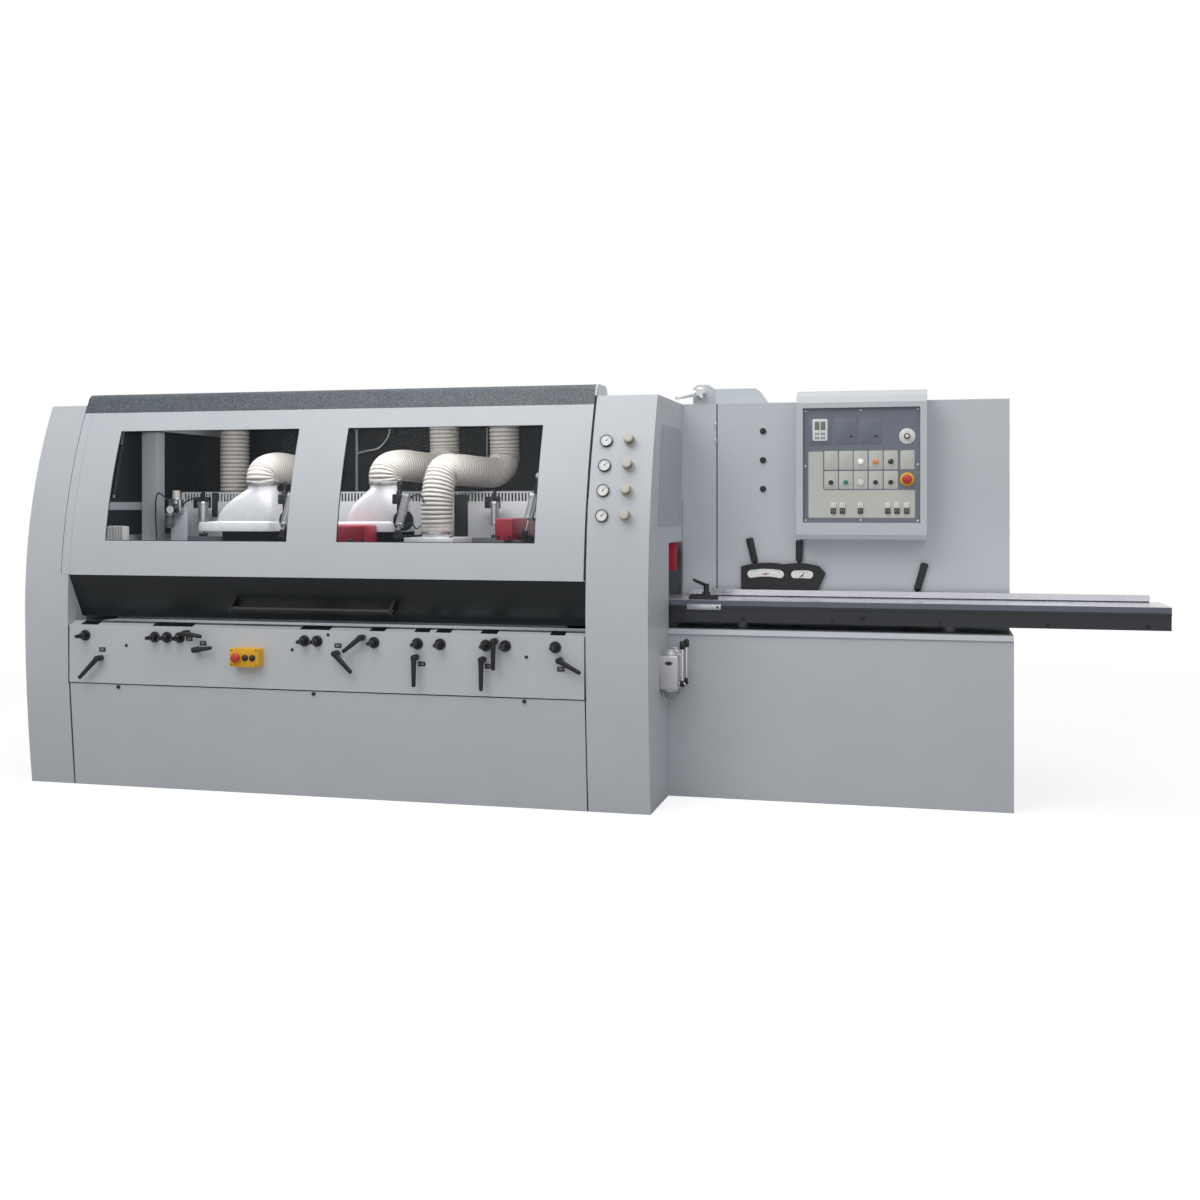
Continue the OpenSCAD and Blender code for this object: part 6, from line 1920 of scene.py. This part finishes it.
@dataclass
class Infeed(Assembly):
    """Infeed table with fence, side guide, scale plate and hand levers."""

    table_x: Flat = (200.0, 2460.0)
    plate_y: float = 43.0
    lever_z: float = 745.0
    lever_y: float = 53.0
    guide_x: Flat = (500.0, 648.0)
    scale_r: float = 330.0
    scale_half: float = 17.0
    long_scale: float = 60.0
    flank_screws: tuple[float, ...] = (380.0, 740.0, 1120.0, 1560.0, 1990.0, 2370.0)
    windows: tuple[tuple[float, float, float], ...] = ((802.0, 955.0, 82.0), (965.0, 950.0, 49.0))
    hand_levers: tuple[tuple[str, float, float, float, float], ...] = (
        ("table_lever", 812.0, -13.0, 375.0, 268.0), ("fence_lever", 947.0, 1.0, 357.0, 268.0),
        ("table_clamp_lever", 1425.0, 16.0, 270.0, 150.0))

    def dress(self) -> None:
        """Gives the infeed's solids their finishes."""
        dress(Coat.TABLE, "infeed_table")
        dress(Coat.STEEL, "infeed_fence")
        dress(Coat.BLACK, "scale_plate", "guide_clamp_lever")

    def build(self) -> None:
        """Makes the scales, the levers, the guide and the table's fittings."""
        self._scales()
        for name, x, tilt, length, grip in self.hand_levers:
            self._hand_lever(name, x, tilt, length, grip)
        self._guide()
        self._fittings()

    def _scales(self) -> None:
        """White arched scales with rounded ends, marks and red pointers on the black plate."""
        made = Forge("lever_scales", Coat.PAPER)
        y, radius, wide = self.plate_y, self.scale_r, self.scale_half
        for x, z, half in self.windows:
            long = half > self.long_scale
            reach = math.degrees(math.asin((half - wide) / radius))
            outline = []
            for way in (-1, 1):
                r = radius - wide * way
                for i in range(25):
                    a = math.radians(way * reach * (2 * i / 24 - 1))
                    outline.append((x + r * math.sin(a), z - radius + r * math.cos(a)))
                a = math.radians(way * reach)
                cx, cz = x + radius * math.sin(a), z - radius + radius * math.cos(a)
                for k in range(1, 9):
                    t = math.radians(20 * k - 90 * way) - a
                    outline.append((cx + wide * math.cos(t), cz + wide * math.sin(t)))
            made.use(Coat.PAPER).prism(outline, y, y - 1.0, "y", 0.2)
            made.use(Coat.INK)
            count = 19 if long else 11
            for i in range(count):
                a = math.radians(reach * (2 * i / (count - 1) - 1) * 0.94)
                place = Matrix.Translation((x, y - 1.0, z - radius)) @ Matrix.Rotation(a, 4, "Y")
                low = radius + (6 if i % 3 == 0 else 9)
                made.at(place).box((-0.5, -0.35, low), (0.5, 0.1, radius + 14))
            lean = turned(84 if long else 48, "Y")
            made.at(Matrix.Translation((x, y - 1.0, z - 5)) @ lean).use(Coat.SCARLET)
            made.box((-2.2, -1.0, -15), (2.2, 0.1, 15), 0.5)
            made.at(STILL).use(Coat.INK).lathe([(4, 0), (4, 1.4), (0, 2)], (x, y - 1.0, z - 6), FRONT, 20)
        made.done("frame")

    def _hand_lever(self, name: str, x: float, tilt: float, length: float, grip: float) -> None:
        """Hand lever: hub on its stud, flat arm and a moulded grip that stands a little forward.

        Args:
            name: CAD node and body.
            x: Where its stud stands.
            tilt: Angle from upright, to the right.
            length: Length from its stud to its end.
            grip: Where its grip starts.
        """
        made = Forge(f"{name}_handle", Coat.BLACK)
        made.lathe(
            [(8.1, -4), (16.5, -4), (17, -3), (17, 3), (16.5, 4), (8.1, 4)], (x, self.lever_y, self.lever_z),
            FRONT, 36)
        place = upright_plane(x, self.lever_y, self.lever_z, 90 - tilt)
        handle(made, place, [(0, 8, 3.9, 0), (12, 8, 3.9, 0), (grip - 12, 8, 3.9, 0), (grip - 2, 8, 3.9, 0)])
        stations = [(grip - 6, 8.0, 3.8, 0), (grip - 2, 14.0, 5.4, 2.4), (grip + 6, 15.4, 8.0, 5.0)]
        stations += [
            (length * 0.5 + grip * 0.5, 15.4, 8.2, 5.2), (length - 8, 16.4, 8.6, 5.4),
            (length - 2, 15.4, 8.0, 5.4), (length, 12.0, 5.4, 5.2)]
        handle(made, place, stations, 32)
        for k in range(4):
            s = grip + 16 + k * (length - grip - 30) / 3.5
            rib = ((0, 15.6, 8.5), (1, 16.2, 8.9), (4, 16.2, 8.9), (5, 15.6, 8.5))
            handle(made, place, [(s + step, wide, thick, 5.25) for step, wide, thick in rib], 32)
        made.done(name, 40.0, (name,))

    def _guide(self) -> None:
        """Side guide: silver plate with a black disc of painted shade for a hole, and a black pressure shoe
        with its boss.
        """
        made = Forge("pressure_guide", Coat.ALLOY)
        x0, x1 = self.guide_x
        front, top = PLAN.table_y[0], PLAN.table_z
        made.box((x0, front - 12, top - 42), (x1, front, top - 19), 1.2)
        # Painted shade: flat black disc that stands for the dark hole in the plate.
        made.use(Coat.INK).lathe(
            [(5.6, 0), (5.6, 0.5), (0, 0.5)], (x1 - 14, front - 12, top - 30.5), FRONT, 28)
        made.use(Coat.MOTOR)
        shoe = [
            (x0 + 6, front), (x1 - 30, front), (x1 - 18, front + 30), (x0 + 96, front + 62),
            (x0 + 22, front + 62)]
        made.prism(shoe, top, top + 16, "z", 2.5)
        hub = (x0 + 78, front + 32, top)
        made.lathe([(19, 15), (17, 18), (17, 32), (15, 34), (0, 34)], hub, sides=40)
        made.use(Coat.CHROME).lathe([(6, 33), (6, 53.6), (0, 54)], hub, sides=24)
        made.use(Coat.MOTOR).box((x0 + 12, front + 20, top + 14), (x0 + 62, front + 44, top + 23), 3.0)
        made.use(Coat.CHROME).lathe([(5, 22), (5, 27), (0, 27)], (x0 + 30, front + 32, top), sides=6)
        made.done("infeed_table", 35.0, ("side_guide",))

    def _fittings(self) -> None:
        """Screw heads, a plug and a lip on the table's front, and a dark strip of painted contact shadow
        along the fence's foot.
        """
        made = Forge("table_fittings", Coat.MOTOR)
        y = PLAN.table_y[0] + 6
        for x in self.flank_screws:
            made.use(Coat.MOTOR).lathe([(8, 0), (8, 5), (5, 5), (5, 2), (0, 2)], (x, y, 770.0), FRONT, 24)
        made.use(Coat.BLACK).lathe([(13, 0), (13, 3), (10, 5), (0, 5)], (1247.0, y, 787.0), FRONT, 32)
        front, top = PLAN.table_y[0], PLAN.table_z
        made.use(Coat.PANEL_DEEP).box(
            (self.table_x[0] + 2, front - 0.5, top - 24), (self.table_x[1] - 0.5, front + 1, top - 1))
        made.done("infeed_table")
        # Painted shadow: dark strip where the fence meets the table top.
        foot = Forge("fence_contact_shadow", Coat.INK)
        foot.box((PLAN.x_side + 42, 5.6, top + 0.5), (self.table_x[1] - 47, 7.0, top + 5))
        foot.done("infeed_fence")


def main() -> None:
    """Builds the picture, dresses the solids and makes every piece."""
    logging.basicConfig(level=logging.INFO, format="%(name)s: %(message)s")
    bpy.context.scene.view_settings.view_transform = "Standard"
    Studio().build()
    for kind in (Casings, Hood, Extraction, Interior, Infeed, Fascia, Panel, Gauges, Lubricators):
        assembly: Assembly = kind()
        assembly.dress()
        assembly.build()
        log.info("%s done", kind.__name__)


if __name__ == "__main__":
    main()
